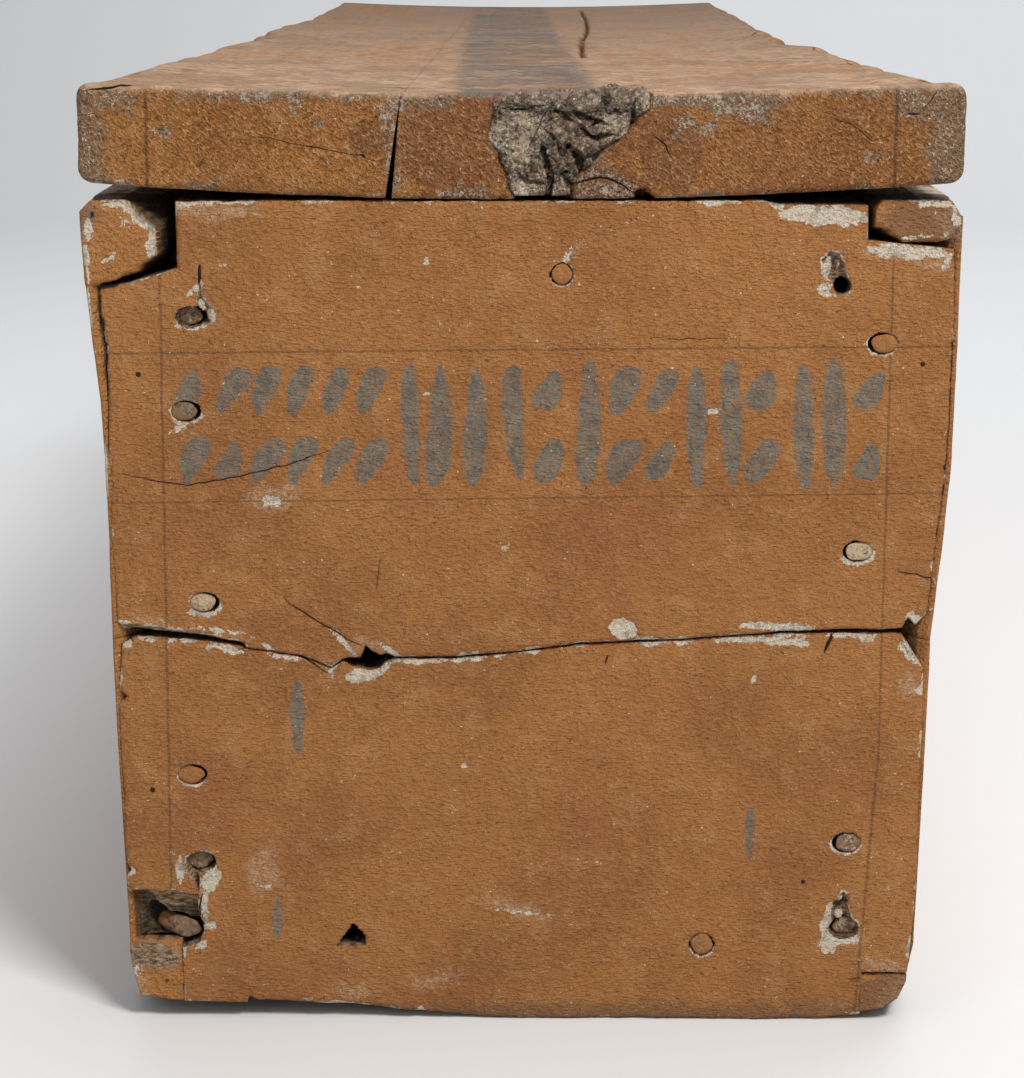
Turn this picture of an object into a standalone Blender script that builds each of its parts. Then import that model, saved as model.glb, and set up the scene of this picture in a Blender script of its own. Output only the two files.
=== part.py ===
"""A plank coffin: a lidded box with shouldered mitre corners held by slanting pegs, old and worn.

Metres, +Z up. The box stands on its underside, its length runs along Y, and the origin lies under its middle.
The near end faces -Y. Heights run from the ground, and worn outlines follow their own board's edges.
"""
import math
import random

import bpy
import bmesh

# Box sizes
LENGTH = 2.0
BOX_WIDTH = 0.468
BOX_HEIGHT = 0.461
WALL = 0.048
SEAM_HEIGHT = 0.2215
FLOOR_THICKNESS = 0.030
FLOOR_LIFT = 0.030
FLOOR_SPLIT = 0.012

# Lid sizes
LID_WIDTH = 0.468
LID_THICKNESS = 0.0555
LID_CUP_BELOW = 0.009
LID_CUP_ABOVE = 0.006
LID_SEAM = -0.0665
LID_SEAM_SLANT = 0.0035
LID_SEAM_GAPE = 0.0035
LID_GAPE_REACH = 0.125
LID_CORNER = 0.009
LID_CORNER_WEAR = 0.25
LID_FACE_POINTS = (0.34, 0.67)

# Joint sizes
FIT = 0.0003
SEAM_GAP = 0.0008
MITRE_TIP = 0.0015
FOOT_LAP = 0.034
FOOT_STEP = 0.001
PEG_DIAMETER = 0.011
FLOOR_PEG_DIAMETER = 0.012
FLOOR_PEG_BITE = 0.020
CENTRE_PEG_DEPTH = 0.040
PEG_SIDES = 10
CUT_PAST = 0.006

# Which way a side lies from the middle
LEFT = -1
RIGHT = 1
SIDE_NAMES = {LEFT: "left", RIGHT: "right"}

# How far a side's outer face stands in from half the box width: share of the way up the upper plank, inset
FACE_INSET = {
    LEFT: (
        (0.0, 0.0105), (0.26, 0.0102), (0.42, 0.0093), (0.55, 0.0079),
        (0.70, 0.0046), (0.85, 0.0012), (1.0, 0.0),
    ),
    RIGHT: (
        (0.0, 0.0095), (0.13, 0.0068), (0.26, 0.0040), (0.42, 0.0013),
        (0.70, 0.0005), (0.85, 0.0002), (1.0, 0.0),
    ),
}
# Depth of the shoulders at the top and foot of each corner
SHOULDER_DEPTH = {LEFT: 0.0465, RIGHT: 0.0225}
SHOULDER_RISE = {LEFT: 0.012, RIGHT: 0.002}
FOOT_SHOULDER = {LEFT: 0.046, RIGHT: 0.027}
SHOULDER_GAP = 0.0015
NOTCH_SIDE_GAP = 0.0025

# Worn edges of the near end: share of the way up the plank, extra inset from the mitre line
UPPER_EDGE_WEAR = {
    LEFT: (
        (0.06, 0.0015), (0.30, 0.0), (0.42, 0.0), (0.58, 0.0008),
        (0.66, 0.0025), (0.80, 0.0060), (1.0, 0.0070),
    ),
    RIGHT: (
        (0.065, 0.0012), (0.20, 0.0010), (0.40, 0.0004), (0.60, 0.0),
        (0.80, 0.0010), (0.90, 0.0035), (1.0, 0.0040),
    ),
}
LOWER_EDGE_WEAR = {
    LEFT: ((0.05, 0.0030), (0.28, 0.0020), (0.46, 0.0), (0.75, 0.0), (0.97, 0.0030)),
    RIGHT: ((0.05, 0.0060), (0.24, 0.0025), (0.41, 0.0008), (0.60, 0.0), (0.87, 0.0)),
}
# The seam between the near end's planks: share across from the middle, height against the seam
SEAM_LINE = (
    (-0.82, -0.0015), (-0.675, -0.0045), (-0.545, -0.0105), (-0.50, -0.0135), (-0.465, -0.0200),
    (-0.43, -0.0125), (-0.31, -0.0125), (-0.15, -0.0125), (0.0, -0.0075), (0.15, -0.0035),
    (0.43, -0.0005), (0.64, 0.0045), (0.94, 0.0045),
)
SEAM_HOLLOW_AT = -0.375
SEAM_HOLLOW_FLOOR = -0.0185
SEAM_HOLLOW_ROOF = -0.0015
SLOT_START = -0.975
SLOT_END = -0.675
SLOT_HEIGHTS = (0.0105, 0.0030)
SEAM_END_CHIP = 0.0150
LOWER_END_CHIP = ((0.945, -0.0025), (0.975, -0.0120))
UPPER_TOP_WEAR = ((0.60, 0.0), (0.63, -0.0045), (0.78, -0.0045))
FOOT_WEAR = (
    (-0.84, 0.0115), (-0.70, 0.0100), (-0.69, 0.0140), (-0.67, 0.0105), (-0.42, 0.0075),
    (-0.22, 0.0030), (-0.09, 0.0), (0.76, 0.0), (0.84, 0.0030),
)

# Cross-sections of the side planks, sound and worn: in from the outer face, height
FOOT_SOUND = ((0.0, 0.020), (0.001, 0.004), (0.004, 0.0), (0.020, 0.0), (WALL, 0.0))
FOOT_WORN = {
    LEFT: ((0.0040, 0.042), (0.0055, 0.030), (0.0095, 0.014), (0.028, 0.0115), (WALL, 0.0115)),
    RIGHT: ((0.0035, 0.045), (0.0075, 0.023), (0.012, 0.013), (0.020, 0.0075), (WALL, 0.0030)),
}
RIM_SOUND = ((0.0, -0.005), (0.002, 0.0), (0.045, 0.0), (WALL, -0.003))
RIM_WORN = {
    LEFT: ((0.0, -0.006), (0.006, 0.0), (0.022, 0.0), (0.041, -0.017)),
    RIGHT: ((0.001, -0.008), (0.006, 0.0), (0.043, 0.0), (0.046, -0.004)),
}
WEAR_STATIONS = ((0.0, 1.0), (0.012, 0.75), (0.045, 0.2), (0.09, 0.0))
FAR_WEAR = 0.25

# Pegs of the near corners: share up their plank, start inward of the outer face, depth lost at the head
UPPER_PEGS = {
    LEFT: ((0.741, 0.0545, 0.006), (0.528, 0.0465, 0.0005), (0.0856, 0.0526, 0.0015)),
    RIGHT: ((0.683, 0.0405, 0.0005), (0.207, 0.0467, 0.001)),
}
LOWER_PEGS = {
    LEFT: ((0.650, 0.0425, 0.0005), (0.420, 0.0455, 0.005), (0.237, 0.0420, 0.004)),
    RIGHT: ((0.474, 0.0435, 0.0005), (0.244, 0.0445, 0.007)),
}
FAR_PEGS = ((0.78, True), (0.30, True), (0.72, False), (0.30, False))
FAR_PEG_START = 0.046
EMPTY_PEG_HOLE = (0.816, 0.0640)
CENTRE_PEG = (0.022, 0.837)
FLOOR_PEG_X = 0.102
FLOOR_HOLE_X = -0.094

# Broken patches of the near end: outline from the peg's middle, across and up
BREAK_AROUND_TOP_PEG = (
    (0.0053, 0.0192), (0.0077, 0.0096), (0.0117, 0.0011), (0.0078, -0.0064),
    (-0.0008, -0.0080), (-0.0060, -0.0043), (-0.0068, 0.0027), (-0.0013, 0.0096),
)
BREAK_ABOVE_EMPTY_HOLE = (
    (-0.0068, 0.0175), (-0.0004, 0.0144), (0.0052, 0.0027), (0.0060, -0.0043),
    (-0.0041, -0.0059), (-0.0095, -0.0027), (-0.0109, 0.0122),
)
BREAK_AT_FOOT_PEG = (
    (0.0011, 0.0219), (0.0052, 0.0142), (0.0060, 0.0053), (0.0096, -0.0036), (0.0030, -0.0095),
    (-0.0069, -0.0143), (-0.0116, -0.0065), (-0.0108, 0.0083), (-0.0066, 0.0160),
)
BREAK_BELOW_PEG = (
    (-0.0088, 0.0035), (-0.0032, 0.0053), (0.0062, 0.0035), (0.0116, -0.0035),
    (0.0075, -0.0123), (0.0006, -0.0194), (-0.0037, -0.0123), (-0.0085, -0.0035),
)
FLOOR_HOLE = ((-0.0074, -0.0048), (0.0001, 0.0065), (0.0062, 0.0006), (0.0055, -0.0048))
BREAK_DEPTH = 0.010
BREAK_FLOOR_SHARE = 0.55
# The broken corner over the left foot shoulder: in from the outer face, height above the ground
CORNER_BREAK = (
    (-0.006, 0.0785), (0.0130, 0.0760), (0.0430, 0.0735),
    (0.0470, 0.0560), (0.0450, 0.0470), (0.0350, 0.0400),
)
CORNER_BREAK_WALL_SHARE = 0.8
CORNER_BREAK_FLOOR_SHARE = 0.75

# Worn long edges of the lid: share of the length, inset
LID_EDGE_WEAR = {
    LEFT: (
        (0.0, 0.0), (0.10, 0.004), (0.18, 0.008), (0.28, 0.009), (0.36, 0.016), (0.45, 0.010),
        (0.545, 0.006), (0.68, 0.012), (0.80, 0.005), (0.925, 0.001), (1.0, 0.0),
    ),
    RIGHT: (
        (0.0, 0.0), (0.07, 0.009), (0.18, 0.013), (0.28, 0.014), (0.34, 0.029), (0.45, 0.022),
        (0.575, 0.015), (0.72, 0.009), (0.875, 0.003), (0.94, 0.001), (1.0, 0.0),
    ),
}
# The mud patch: share of the lid's thickness, left edge and right edge across
MUD_EDGES = (
    (0.0, -0.0040, 0.0270), (0.09, -0.0060, 0.0290), (0.23, -0.0085, 0.0320), (0.33, -0.0120, 0.0385),
    (0.43, -0.0145, 0.0430), (0.60, -0.0185, 0.0560), (0.80, -0.0170, 0.0650), (1.0, -0.0140, 0.0700),
)
MUD_DEPTH = 0.034
MUD_GAP = 0.0008
MUD_LUMP = 0.0022
MUD_COLUMNS = 9
MUD_FACE_SINK = 0.003
MUD_SEED = 7

# Finishes: colour, roughness
PAINTED = ((0.34, 0.15, 0.052, 1.0), 0.9)
WEATHERED = ((0.29, 0.20, 0.12, 1.0), 0.9)
BARE = ((0.20, 0.13, 0.075, 1.0), 0.85)
MUD = ((0.22, 0.17, 0.115, 1.0), 0.95)


def clear_scene():
    """Take every object out of the scene."""
    for old in list(bpy.data.objects):
        bpy.data.objects.remove(old, do_unlink=True)


def finish(name, colour, roughness):
    """A plain finish of one colour."""
    material = bpy.data.materials.new(name)
    material.use_nodes = True
    shader = material.node_tree.nodes["Principled BSDF"]
    shader.inputs["Base Color"].default_value = colour
    shader.inputs["Roughness"].default_value = roughness
    shader.inputs["Metallic"].default_value = 0.0
    return material


def read_off(stations, place):
    """The value at a place on a line through stations, each a place and a value."""
    if place <= stations[0][0]:
        return stations[0][1]
    for (start, low), (stop, high) in zip(stations, stations[1:]):
        if place <= stop:
            return low + (high - low) * (place - start) / (stop - start)
    return stations[-1][1]


def blend(sound, worn, share):
    """Points part of the way from a sound outline to a worn one."""
    return [tuple(a + (b - a) * share for a, b in zip(p, q)) for p, q in zip(sound, worn)]


def plank_height(upper, share):
    """A height part of the way up a plank."""
    if upper:
        return SEAM_HEIGHT + (BOX_HEIGHT - SEAM_HEIGHT) * share
    return SEAM_HEIGHT * share


def face_out(side, height):
    """How far the outer face of a side stands from the middle, at a height."""
    share = (height - SEAM_HEIGHT) / (BOX_HEIGHT - SEAM_HEIGHT)
    return BOX_WIDTH / 2 - read_off(FACE_INSET[side], share)


def across(side, inward, height):
    """X of a point that lies inward of a side's outer face."""
    return side * (face_out(side, height) - inward)


def along(end, inward):
    """Y of a point that lies inward of an end's outer face."""
    return end * (LENGTH / 2 - inward)


def new_object(name, points, faces, material=None):
    """An object from points and faces, its faces turned outward."""
    mesh = bpy.data.meshes.new(name)
    mesh.from_pydata(points, [], faces)
    form = bmesh.new()
    form.from_mesh(mesh)
    bmesh.ops.recalc_face_normals(form, faces=form.faces)
    form.to_mesh(mesh)
    form.free()
    thing = bpy.data.objects.new(name, mesh)
    bpy.context.scene.collection.objects.link(thing)
    if material:
        mesh.materials.append(material)
    return thing


def loft(name, rings, material=None):
    """A closed body through rings that have equally many points."""
    count = len(rings[0])
    points = [point for ring in rings for point in ring]
    faces = []
    for step in range(len(rings) - 1):
        for i in range(count):
            j = (i + 1) % count
            a, b = step * count + i, step * count + j
            faces.append((a, b, b + count, a + count))
    faces.append(tuple(range(count)))
    faces.append(tuple(range((len(rings) - 1) * count, len(rings) * count)))
    return new_object(name, points, faces, material)


def cutter(name, rings):
    """A body that only cuts others."""
    tool = loft(name, rings)
    tool.hide_render = True
    tool.display_type = "WIRE"
    return tool


def cut(thing, tool):
    """Take a cutter away from a piece."""
    modifier = thing.modifiers.new("cut by " + tool.name, "BOOLEAN")
    modifier.operation = "DIFFERENCE"
    modifier.solver = "EXACT"
    modifier.object = tool


def mitre_cutter(name, side, end, levels):
    """Takes the end board's half of a mitre from a side board.

    A level is a height, how wide a lap the side board keeps on the face there, and how far the height rises
    across the wall.
    """
    past = WALL + CUT_PAST
    rings = []
    for height, lap, rise in levels:
        plan = ((lap, -CUT_PAST), (lap, lap - MITRE_TIP), (past, past - MITRE_TIP), (past, -CUT_PAST))
        ring = []
        for inward, depth in plan:
            level = height + rise * inward / WALL
            ring.append((across(side, inward, level), along(end, depth), level))
        rings.append(ring)
    return cutter(name, rings)


def side_profile(side, upper, wear):
    """One cross-section of a side plank: in from the outer face, height."""
    if upper:
        rim = blend(RIM_SOUND, RIM_WORN[side], wear)
        bottom = SEAM_HEIGHT + FIT
        face = [(0.0, bottom)] + [(0.0, plank_height(True, share)) for share, inset in FACE_INSET[side][1:-1]]
        top = [(inward, BOX_HEIGHT + drop) for inward, drop in rim]
        return face + top + [(WALL, bottom)]
    foot = blend(FOOT_SOUND, FOOT_WORN[side], wear)
    return [(0.0, SEAM_HEIGHT)] + foot + [(WALL, SEAM_HEIGHT)]


def side_plank(side, upper, material):
    """A side plank, lofted along the length and mitred at both ends."""
    level = "upper" if upper else "lower"
    name = "{}_side_{}_plank".format(SIDE_NAMES[side], level)
    stations = [(along(-1, place), wear) for place, wear in WEAR_STATIONS]
    stations += [(along(1, place), wear * FAR_WEAR) for place, wear in reversed(WEAR_STATIONS)]
    rings = []
    for y, wear in stations:
        rings.append([(across(side, u, z), y, z) for u, z in side_profile(side, upper, wear)])
    plank = loft(name, rings, material)
    for end, end_name in ((-1, "near"), (1, "far")):
        label = "{}_{}_{}_mitre".format(SIDE_NAMES[side], end_name, level)
        if upper:
            ledge = BOX_HEIGHT - SHOULDER_DEPTH[side]
            heights = [plank_height(True, share) for share, inset in FACE_INSET[side]]
            levels = [(SEAM_HEIGHT - CUT_PAST, MITRE_TIP, 0.0)]
            levels += [(height, MITRE_TIP, 0.0) for height in heights if height < ledge - SHOULDER_GAP]
            levels.append((ledge, MITRE_TIP, SHOULDER_RISE[side]))
        else:
            foot = FOOT_SHOULDER[side]
            levels = (
                (-CUT_PAST, FOOT_LAP, 0.0), (foot, FOOT_LAP, 0.0),
                (foot + FOOT_STEP, MITRE_TIP, 0.0), (SEAM_HEIGHT + CUT_PAST, MITRE_TIP, 0.0),
            )
        cut(plank, mitre_cutter(label, side, end, levels))
    return plank


def end_half(height, side, back):
    """How far an end plank's mitred edge stands from the middle, on its face or its back."""
    mitre = MITRE_TIP + FIT * 2
    return face_out(side, height) - mitre - (WALL if back else 0.0)


def end_plank(name, end, outline, material):
    """An end plank: its face outline, carried to its back, where the mitres bring both edges in.

    An outline point is (side, across or inset, height): with a side, it lies on that mitred edge,
    and without one it is a share across from the middle.
    """
    rings = []
    for back in (False, True):
        ring = []
        for side, place, height in outline:
            if side:
                x = side * (end_half(height, side, back) - (0.0 if back else place))
            else:
                x = place * end_half(SEAM_HEIGHT, RIGHT if place > 0 else LEFT, back)
            ring.append((x, along(end, WALL if back else 0.0), height))
        rings.append(ring)
    return loft(name, rings, material)


def edge_up(side, wear, upper):
    """Points up a mitred edge: its worn places, and where the side board beside it bends."""
    shares = {share for share, inset in wear}
    if upper:
        shares |= {share for share, inset in FACE_INSET[side] if share > wear[0][0]}
    return [(side, read_off(wear, share), plank_height(upper, share)) for share in sorted(shares)]


def near_upper_outline():
    """The face outline of the near end's upper plank, from its left bottom corner round."""
    bottom = SEAM_HEIGHT + SEAM_GAP
    points = [(0, SLOT_START, bottom + SLOT_HEIGHTS[0]), (0, SLOT_END, bottom + SLOT_HEIGHTS[1])]
    seam = sorted(SEAM_LINE + ((SEAM_HOLLOW_AT, SEAM_HOLLOW_ROOF),))
    points += [(0, share, bottom + dip) for share, dip in seam if share >= SLOT_END]
    points.append((0, SEAM_LINE[-1][0], bottom + SEAM_END_CHIP))
    points += edge_up(RIGHT, UPPER_EDGE_WEAR[RIGHT], True)
    points += [(0, share, BOX_HEIGHT + drop) for share, drop in reversed(UPPER_TOP_WEAR)]
    points += reversed(edge_up(LEFT, UPPER_EDGE_WEAR[LEFT], True))
    return points


def near_lower_outline():
    """The face outline of the near end's lower plank, from its left top corner round."""
    points = list(edge_up(LEFT, LOWER_EDGE_WEAR[LEFT], False))
    seam = sorted(SEAM_LINE + ((SEAM_HOLLOW_AT, SEAM_HOLLOW_FLOOR),) + LOWER_END_CHIP)
    points += [(0, share, SEAM_HEIGHT + dip) for share, dip in seam]
    points += reversed(edge_up(RIGHT, LOWER_EDGE_WEAR[RIGHT], False))
    points += [(0, share, rise) for share, rise in reversed(FOOT_WEAR)]
    return points


def far_outline(upper):
    """The face outline of a far end plank, plain and straight."""
    if not upper:
        return [(LEFT, 0.0, SEAM_HEIGHT), (LEFT, 0.0, 0.0), (RIGHT, 0.0, 0.0), (RIGHT, 0.0, SEAM_HEIGHT)]
    edges = {}
    for side in (LEFT, RIGHT):
        edges[side] = [(side, 0.0, SEAM_HEIGHT + FIT)]
        edges[side] += [(side, 0.0, plank_height(True, share)) for share, inset in FACE_INSET[side][1:]]
    return list(reversed(edges[LEFT])) + edges[RIGHT]


def prism_cutter(name, end, outline, depth, floor_share=1.0):
    """Takes out an outline on an end's face, narrowing towards its middle as it goes in."""
    middle_x = sum(x for x, z in outline) / len(outline)
    middle_z = sum(z for x, z in outline) / len(outline)
    rings = []
    for place, share in ((-CUT_PAST, 1.0), (0.0, 1.0), (depth, floor_share)):
        ring = [(middle_x + (x - middle_x) * share, along(end, place), middle_z + (z - middle_z) * share)
                for x, z in outline]
        rings.append(ring)
    return cutter(name, rings)


def notch_end(plank, side, end, upper):
    """Cut an end plank back where a side board's shoulder comes through to the face."""
    label = "{}_{}_notch".format(plank.name, SIDE_NAMES[side])
    past = BOX_WIDTH
    if upper:
        ledge = BOX_HEIGHT - SHOULDER_DEPTH[side] - SHOULDER_GAP
        wall = side * (face_out(side, ledge) - WALL - NOTCH_SIDE_GAP)
        outline = (
            (side * past, ledge), (across(side, 0.0, ledge), ledge), (wall, ledge + SHOULDER_RISE[side]),
            (wall, BOX_HEIGHT + CUT_PAST), (side * past, BOX_HEIGHT + CUT_PAST),
        )
        cut(plank, prism_cutter(label, end, outline, WALL + CUT_PAST))
    else:
        wall = side * (face_out(side, 0.0) - FOOT_LAP - FIT * 2)
        ledge = FOOT_SHOULDER[side] + FOOT_STEP + FIT
        outline = ((side * past, -CUT_PAST), (wall, -CUT_PAST), (wall, ledge), (side * past, ledge))
        cut(plank, prism_cutter(label, end, outline, FOOT_LAP))


def slanting_rod(name, side, end, height, start, radius, head=0.0, past=0.0, material=None):
    """A rod driven at 45 degrees from an end's face, across the mitre, to the side's outer face."""
    face = face_out(side, height)
    heads, tails = [], []
    for i in range(PEG_SIDES):
        turn = 2 * math.pi * i / PEG_SIDES
        spread = radius * math.cos(turn) * math.sqrt(2)
        rise = height + radius * math.sin(turn)
        depth = head - past
        inward = start + spread - depth
        heads.append((side * (face - inward), along(end, depth), rise))
        tails.append((side * (face + past), along(end, start + spread + past), rise))
    if material:
        return loft(name, [heads, tails], material)
    return cutter(name, [heads, tails])


def straight_rod(name, end, x, height, radius, start, stop, material=None):
    """A rod driven square into an end's face."""
    rings = []
    for depth in (start, stop):
        ring = []
        for i in range(PEG_SIDES):
            turn = 2 * math.pi * (i + 0.5) / PEG_SIDES
            ring.append((x + radius * math.cos(turn), along(end, depth), height + radius * math.sin(turn)))
        rings.append(ring)
    if material:
        return loft(name, rings, material)
    return cutter(name, rings)


def slanting_hole(name, side, end, height, start, boards):
    """A slanting peg's hole through both boards of a corner."""
    hole = slanting_rod(name, side, end, height, start, PEG_DIAMETER / 2 + FIT, past=CUT_PAST)
    for board in boards:
        cut(board, hole)


def slanting_peg(name, side, end, height, start, head, boards, material):
    """A slanting peg with its hole, its head a little below the face."""
    slanting_hole(name + "_hole", side, end, height, start, boards)
    return slanting_rod(name, side, end, height, start, PEG_DIAMETER / 2, head=head, material=material)


def straight_peg(name, x, height, diameter, length, boards, material):
    """A peg driven square into the near end, with its hole."""
    hole = straight_rod(name + "_hole", -1, x, height, diameter / 2 + FIT, -CUT_PAST, length + FIT)
    for board in boards:
        cut(board, hole)
    return straight_rod(name, -1, x, height, diameter / 2, FIT, length, material)


def peg_place(side, upper, number):
    """X and height of a near peg's middle on the face."""
    share, start, head = (UPPER_PEGS if upper else LOWER_PEGS)[side][number]
    height = plank_height(upper, share)
    return across(side, start, height), height


def break_away(plank, name, outline, place, depth=BREAK_DEPTH, floor_share=BREAK_FLOOR_SHARE):
    """Break an outline, drawn round a place, out of a near end plank's face."""
    x, z = place
    moved = [(x + dx, z + dz) for dx, dz in outline]
    cut(plank, prism_cutter(name, -1, moved, depth, floor_share))


def floor_plank(side, material):
    """A floor plank, lying between the walls."""
    outer = across(side, WALL + FIT, FLOOR_LIFT)
    inner = FLOOR_SPLIT + side * FIT / 2
    ends = [along(end, WALL + FIT) for end in (-1, 1)]
    rings = []
    for y in ends:
        rings.append([(x, y, z) for x, z in (
            (outer, FLOOR_LIFT), (inner, FLOOR_LIFT),
            (inner, FLOOR_LIFT + FLOOR_THICKNESS), (outer, FLOOR_LIFT + FLOOR_THICKNESS))])
    return loft("floor_plank_" + SIDE_NAMES[side], rings, material)


def lid_under(x):
    """Height of the lid's cupped underside."""
    return BOX_HEIGHT + FIT + LID_CUP_BELOW * (2 * x / LID_WIDTH) ** 2


def lid_over(x):
    """Height of the lid's cupped upper face."""
    return BOX_HEIGHT + FIT + LID_THICKNESS + LID_CUP_ABOVE * (2 * x / LID_WIDTH) ** 2


def lid_seam(side, share, gape):
    """X of a lid plank's inner edge, at a share of the thickness, slanting and gaping below."""
    middle = LID_SEAM + LID_SEAM_SLANT * (share - 0.5) * 2
    open_by = FIT + LID_SEAM_GAPE * gape * (1 - share)
    return middle + side * open_by / 2


def lid_ring(side, y, wear, gape):
    """A cross-section of a lid plank: outer rounded edge, top, inner edge, underside."""
    outer = LID_WIDTH / 2 - wear
    corner = LID_CORNER + wear * LID_CORNER_WEAR
    ring = []
    for quarter, level in ((-1, lid_under), (1, lid_over)):
        centre_x = outer - corner
        centre_z = level(centre_x) - quarter * corner
        turns = (-90, -45, 0) if quarter < 0 else (0, 45, 90)
        for turn in turns:
            angle = math.radians(turn)
            x = centre_x + corner * math.cos(angle)
            ring.append((side * x, y, centre_z + corner * math.sin(angle)))
    top_inner = lid_seam(side, 1.0, gape)
    low_inner = lid_seam(side, 0.0, gape)
    edge = side * (outer - corner)
    for share in LID_FACE_POINTS:
        x = edge + (top_inner - edge) * share
        ring.append((x, y, lid_over(x)))
    for share in (1.0, 0.5, 0.0):
        x = lid_seam(side, share, gape)
        ring.append((x, y, lid_under(x) + (lid_over(x) - lid_under(x)) * share))
    for share in LID_FACE_POINTS:
        x = low_inner + (edge - low_inner) * share
        ring.append((x, y, lid_under(x)))
    return ring


def lid_plank(side, material):
    """A lid plank, lofted along its length past the worn places of its outer edge."""
    rings = []
    for share, wear in LID_EDGE_WEAR[side]:
        y = -LENGTH / 2 + LENGTH * share
        gape = max(0.0, 1 - share / LID_GAPE_REACH)
        rings.append(lid_ring(side, y, wear, gape))
    return loft("lid_plank_" + SIDE_NAMES[side], rings, material)


def mud_height(share):
    """A height part of the way up the mud patch."""
    return lid_under(0.0) + (lid_over(0.0) - lid_under(0.0)) * share


def pocket_section(depth):
    """The mud pocket's outline at a depth: up its left edge, over the lid's top, down its right edge."""
    y = along(-1, depth)
    left = [(low - MUD_GAP, y, mud_height(share)) for share, low, high in MUD_EDGES]
    right = [(high + MUD_GAP, y, mud_height(share)) for share, low, high in reversed(MUD_EDGES)]
    over, under = mud_height(1.0) + CUT_PAST, mud_height(0.0) - CUT_PAST
    above = [(left[-1][0], y, over), (right[0][0], y, over)]
    below = [(right[-1][0], y, under), (left[0][0], y, under)]
    return left + above + right + below


def mud_patch(material):
    """The mud patch: a lumpy face on a plug that fills its pocket in the lid."""
    chance = random.Random(MUD_SEED)
    rows = len(MUD_EDGES)
    points = []
    for back in (False, True):
        for share, low, high in MUD_EDGES:
            for column in range(MUD_COLUMNS):
                x = low + (high - low) * column / (MUD_COLUMNS - 1)
                depth = MUD_DEPTH if back else MUD_FACE_SINK + chance.uniform(-MUD_LUMP, MUD_LUMP)
                points.append((x, along(-1, depth), mud_height(share)))
    faces = []
    sheet = rows * MUD_COLUMNS
    for row in range(rows - 1):
        for column in range(MUD_COLUMNS - 1):
            a = row * MUD_COLUMNS + column
            faces.append((a, a + 1, a + MUD_COLUMNS))
            faces.append((a + 1, a + MUD_COLUMNS + 1, a + MUD_COLUMNS))
            b = a + sheet
            faces.append((b, b + MUD_COLUMNS, b + 1))
            faces.append((b + 1, b + MUD_COLUMNS, b + MUD_COLUMNS + 1))
    bottom = list(range(MUD_COLUMNS))
    right = [row * MUD_COLUMNS + MUD_COLUMNS - 1 for row in range(rows)]
    top = [(rows - 1) * MUD_COLUMNS + column for column in reversed(range(MUD_COLUMNS))]
    left = [row * MUD_COLUMNS for row in reversed(range(rows))]
    border = bottom[:-1] + right[:-1] + top[:-1] + left[:-1]
    for i, a in enumerate(border):
        b = border[(i + 1) % len(border)]
        faces.append((a, b, b + sheet, a + sheet))
    return new_object("lid_mud_fill", points, faces, material)


clear_scene()
painted = finish("ochre paint on wood", *PAINTED)
weathered = finish("weathered lid wood", *WEATHERED)
bare = finish("bare peg wood", *BARE)
mud = finish("mud and plaster", *MUD)

# Walls
sides = {}
for side in (LEFT, RIGHT):
    for upper in (True, False):
        sides[side, upper] = side_plank(side, upper, painted)
ends = {
    (-1, True): end_plank("near_end_upper_plank", -1, near_upper_outline(), painted),
    (-1, False): end_plank("near_end_lower_plank", -1, near_lower_outline(), painted),
    (1, True): end_plank("far_end_upper_plank", 1, far_outline(True), painted),
    (1, False): end_plank("far_end_lower_plank", 1, far_outline(False), painted),
}
for (end, upper), plank in ends.items():
    for side in (LEFT, RIGHT):
        notch_end(plank, side, end, upper)
near_upper, near_lower = ends[-1, True], ends[-1, False]

# Slanting pegs through the near corners
for side in (LEFT, RIGHT):
    places = [(True, peg) for peg in UPPER_PEGS[side]] + [(False, peg) for peg in LOWER_PEGS[side]]
    for number, (upper, (share, start, head)) in enumerate(places, 1):
        name = "near_end_peg_{}_{}".format(SIDE_NAMES[side], number)
        boards = (ends[-1, upper], sides[side, upper])
        slanting_peg(name, side, -1, plank_height(upper, share), start, head, boards, bare)

# Slanting pegs through the far corners
for side in (LEFT, RIGHT):
    for number, (share, upper) in enumerate(FAR_PEGS, 1):
        name = "far_end_peg_{}_{}".format(SIDE_NAMES[side], number)
        boards = (ends[1, upper], sides[side, upper])
        slanting_peg(name, side, 1, plank_height(upper, share), FAR_PEG_START, FIT, boards, bare)

# The hole that has lost its peg
empty_share, empty_start = EMPTY_PEG_HOLE
empty_height = plank_height(True, empty_share)
slanting_hole("empty_hole", RIGHT, -1, empty_height, empty_start, (near_upper, sides[RIGHT, True]))

# The floor, and the straight pegs, one in the upper plank and one into the floor
floors = {side: floor_plank(side, bare) for side in (LEFT, RIGHT)}
floor_middle = FLOOR_LIFT + FLOOR_THICKNESS / 2
centre_x, centre_share = CENTRE_PEG
straight_peg("near_end_peg_centre", centre_x, plank_height(True, centre_share), PEG_DIAMETER,
             CENTRE_PEG_DEPTH, (near_upper,), bare)
straight_peg("near_end_peg_floor", FLOOR_PEG_X, floor_middle, FLOOR_PEG_DIAMETER,
             WALL + FLOOR_PEG_BITE, (near_lower, floors[RIGHT]), bare)

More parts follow.
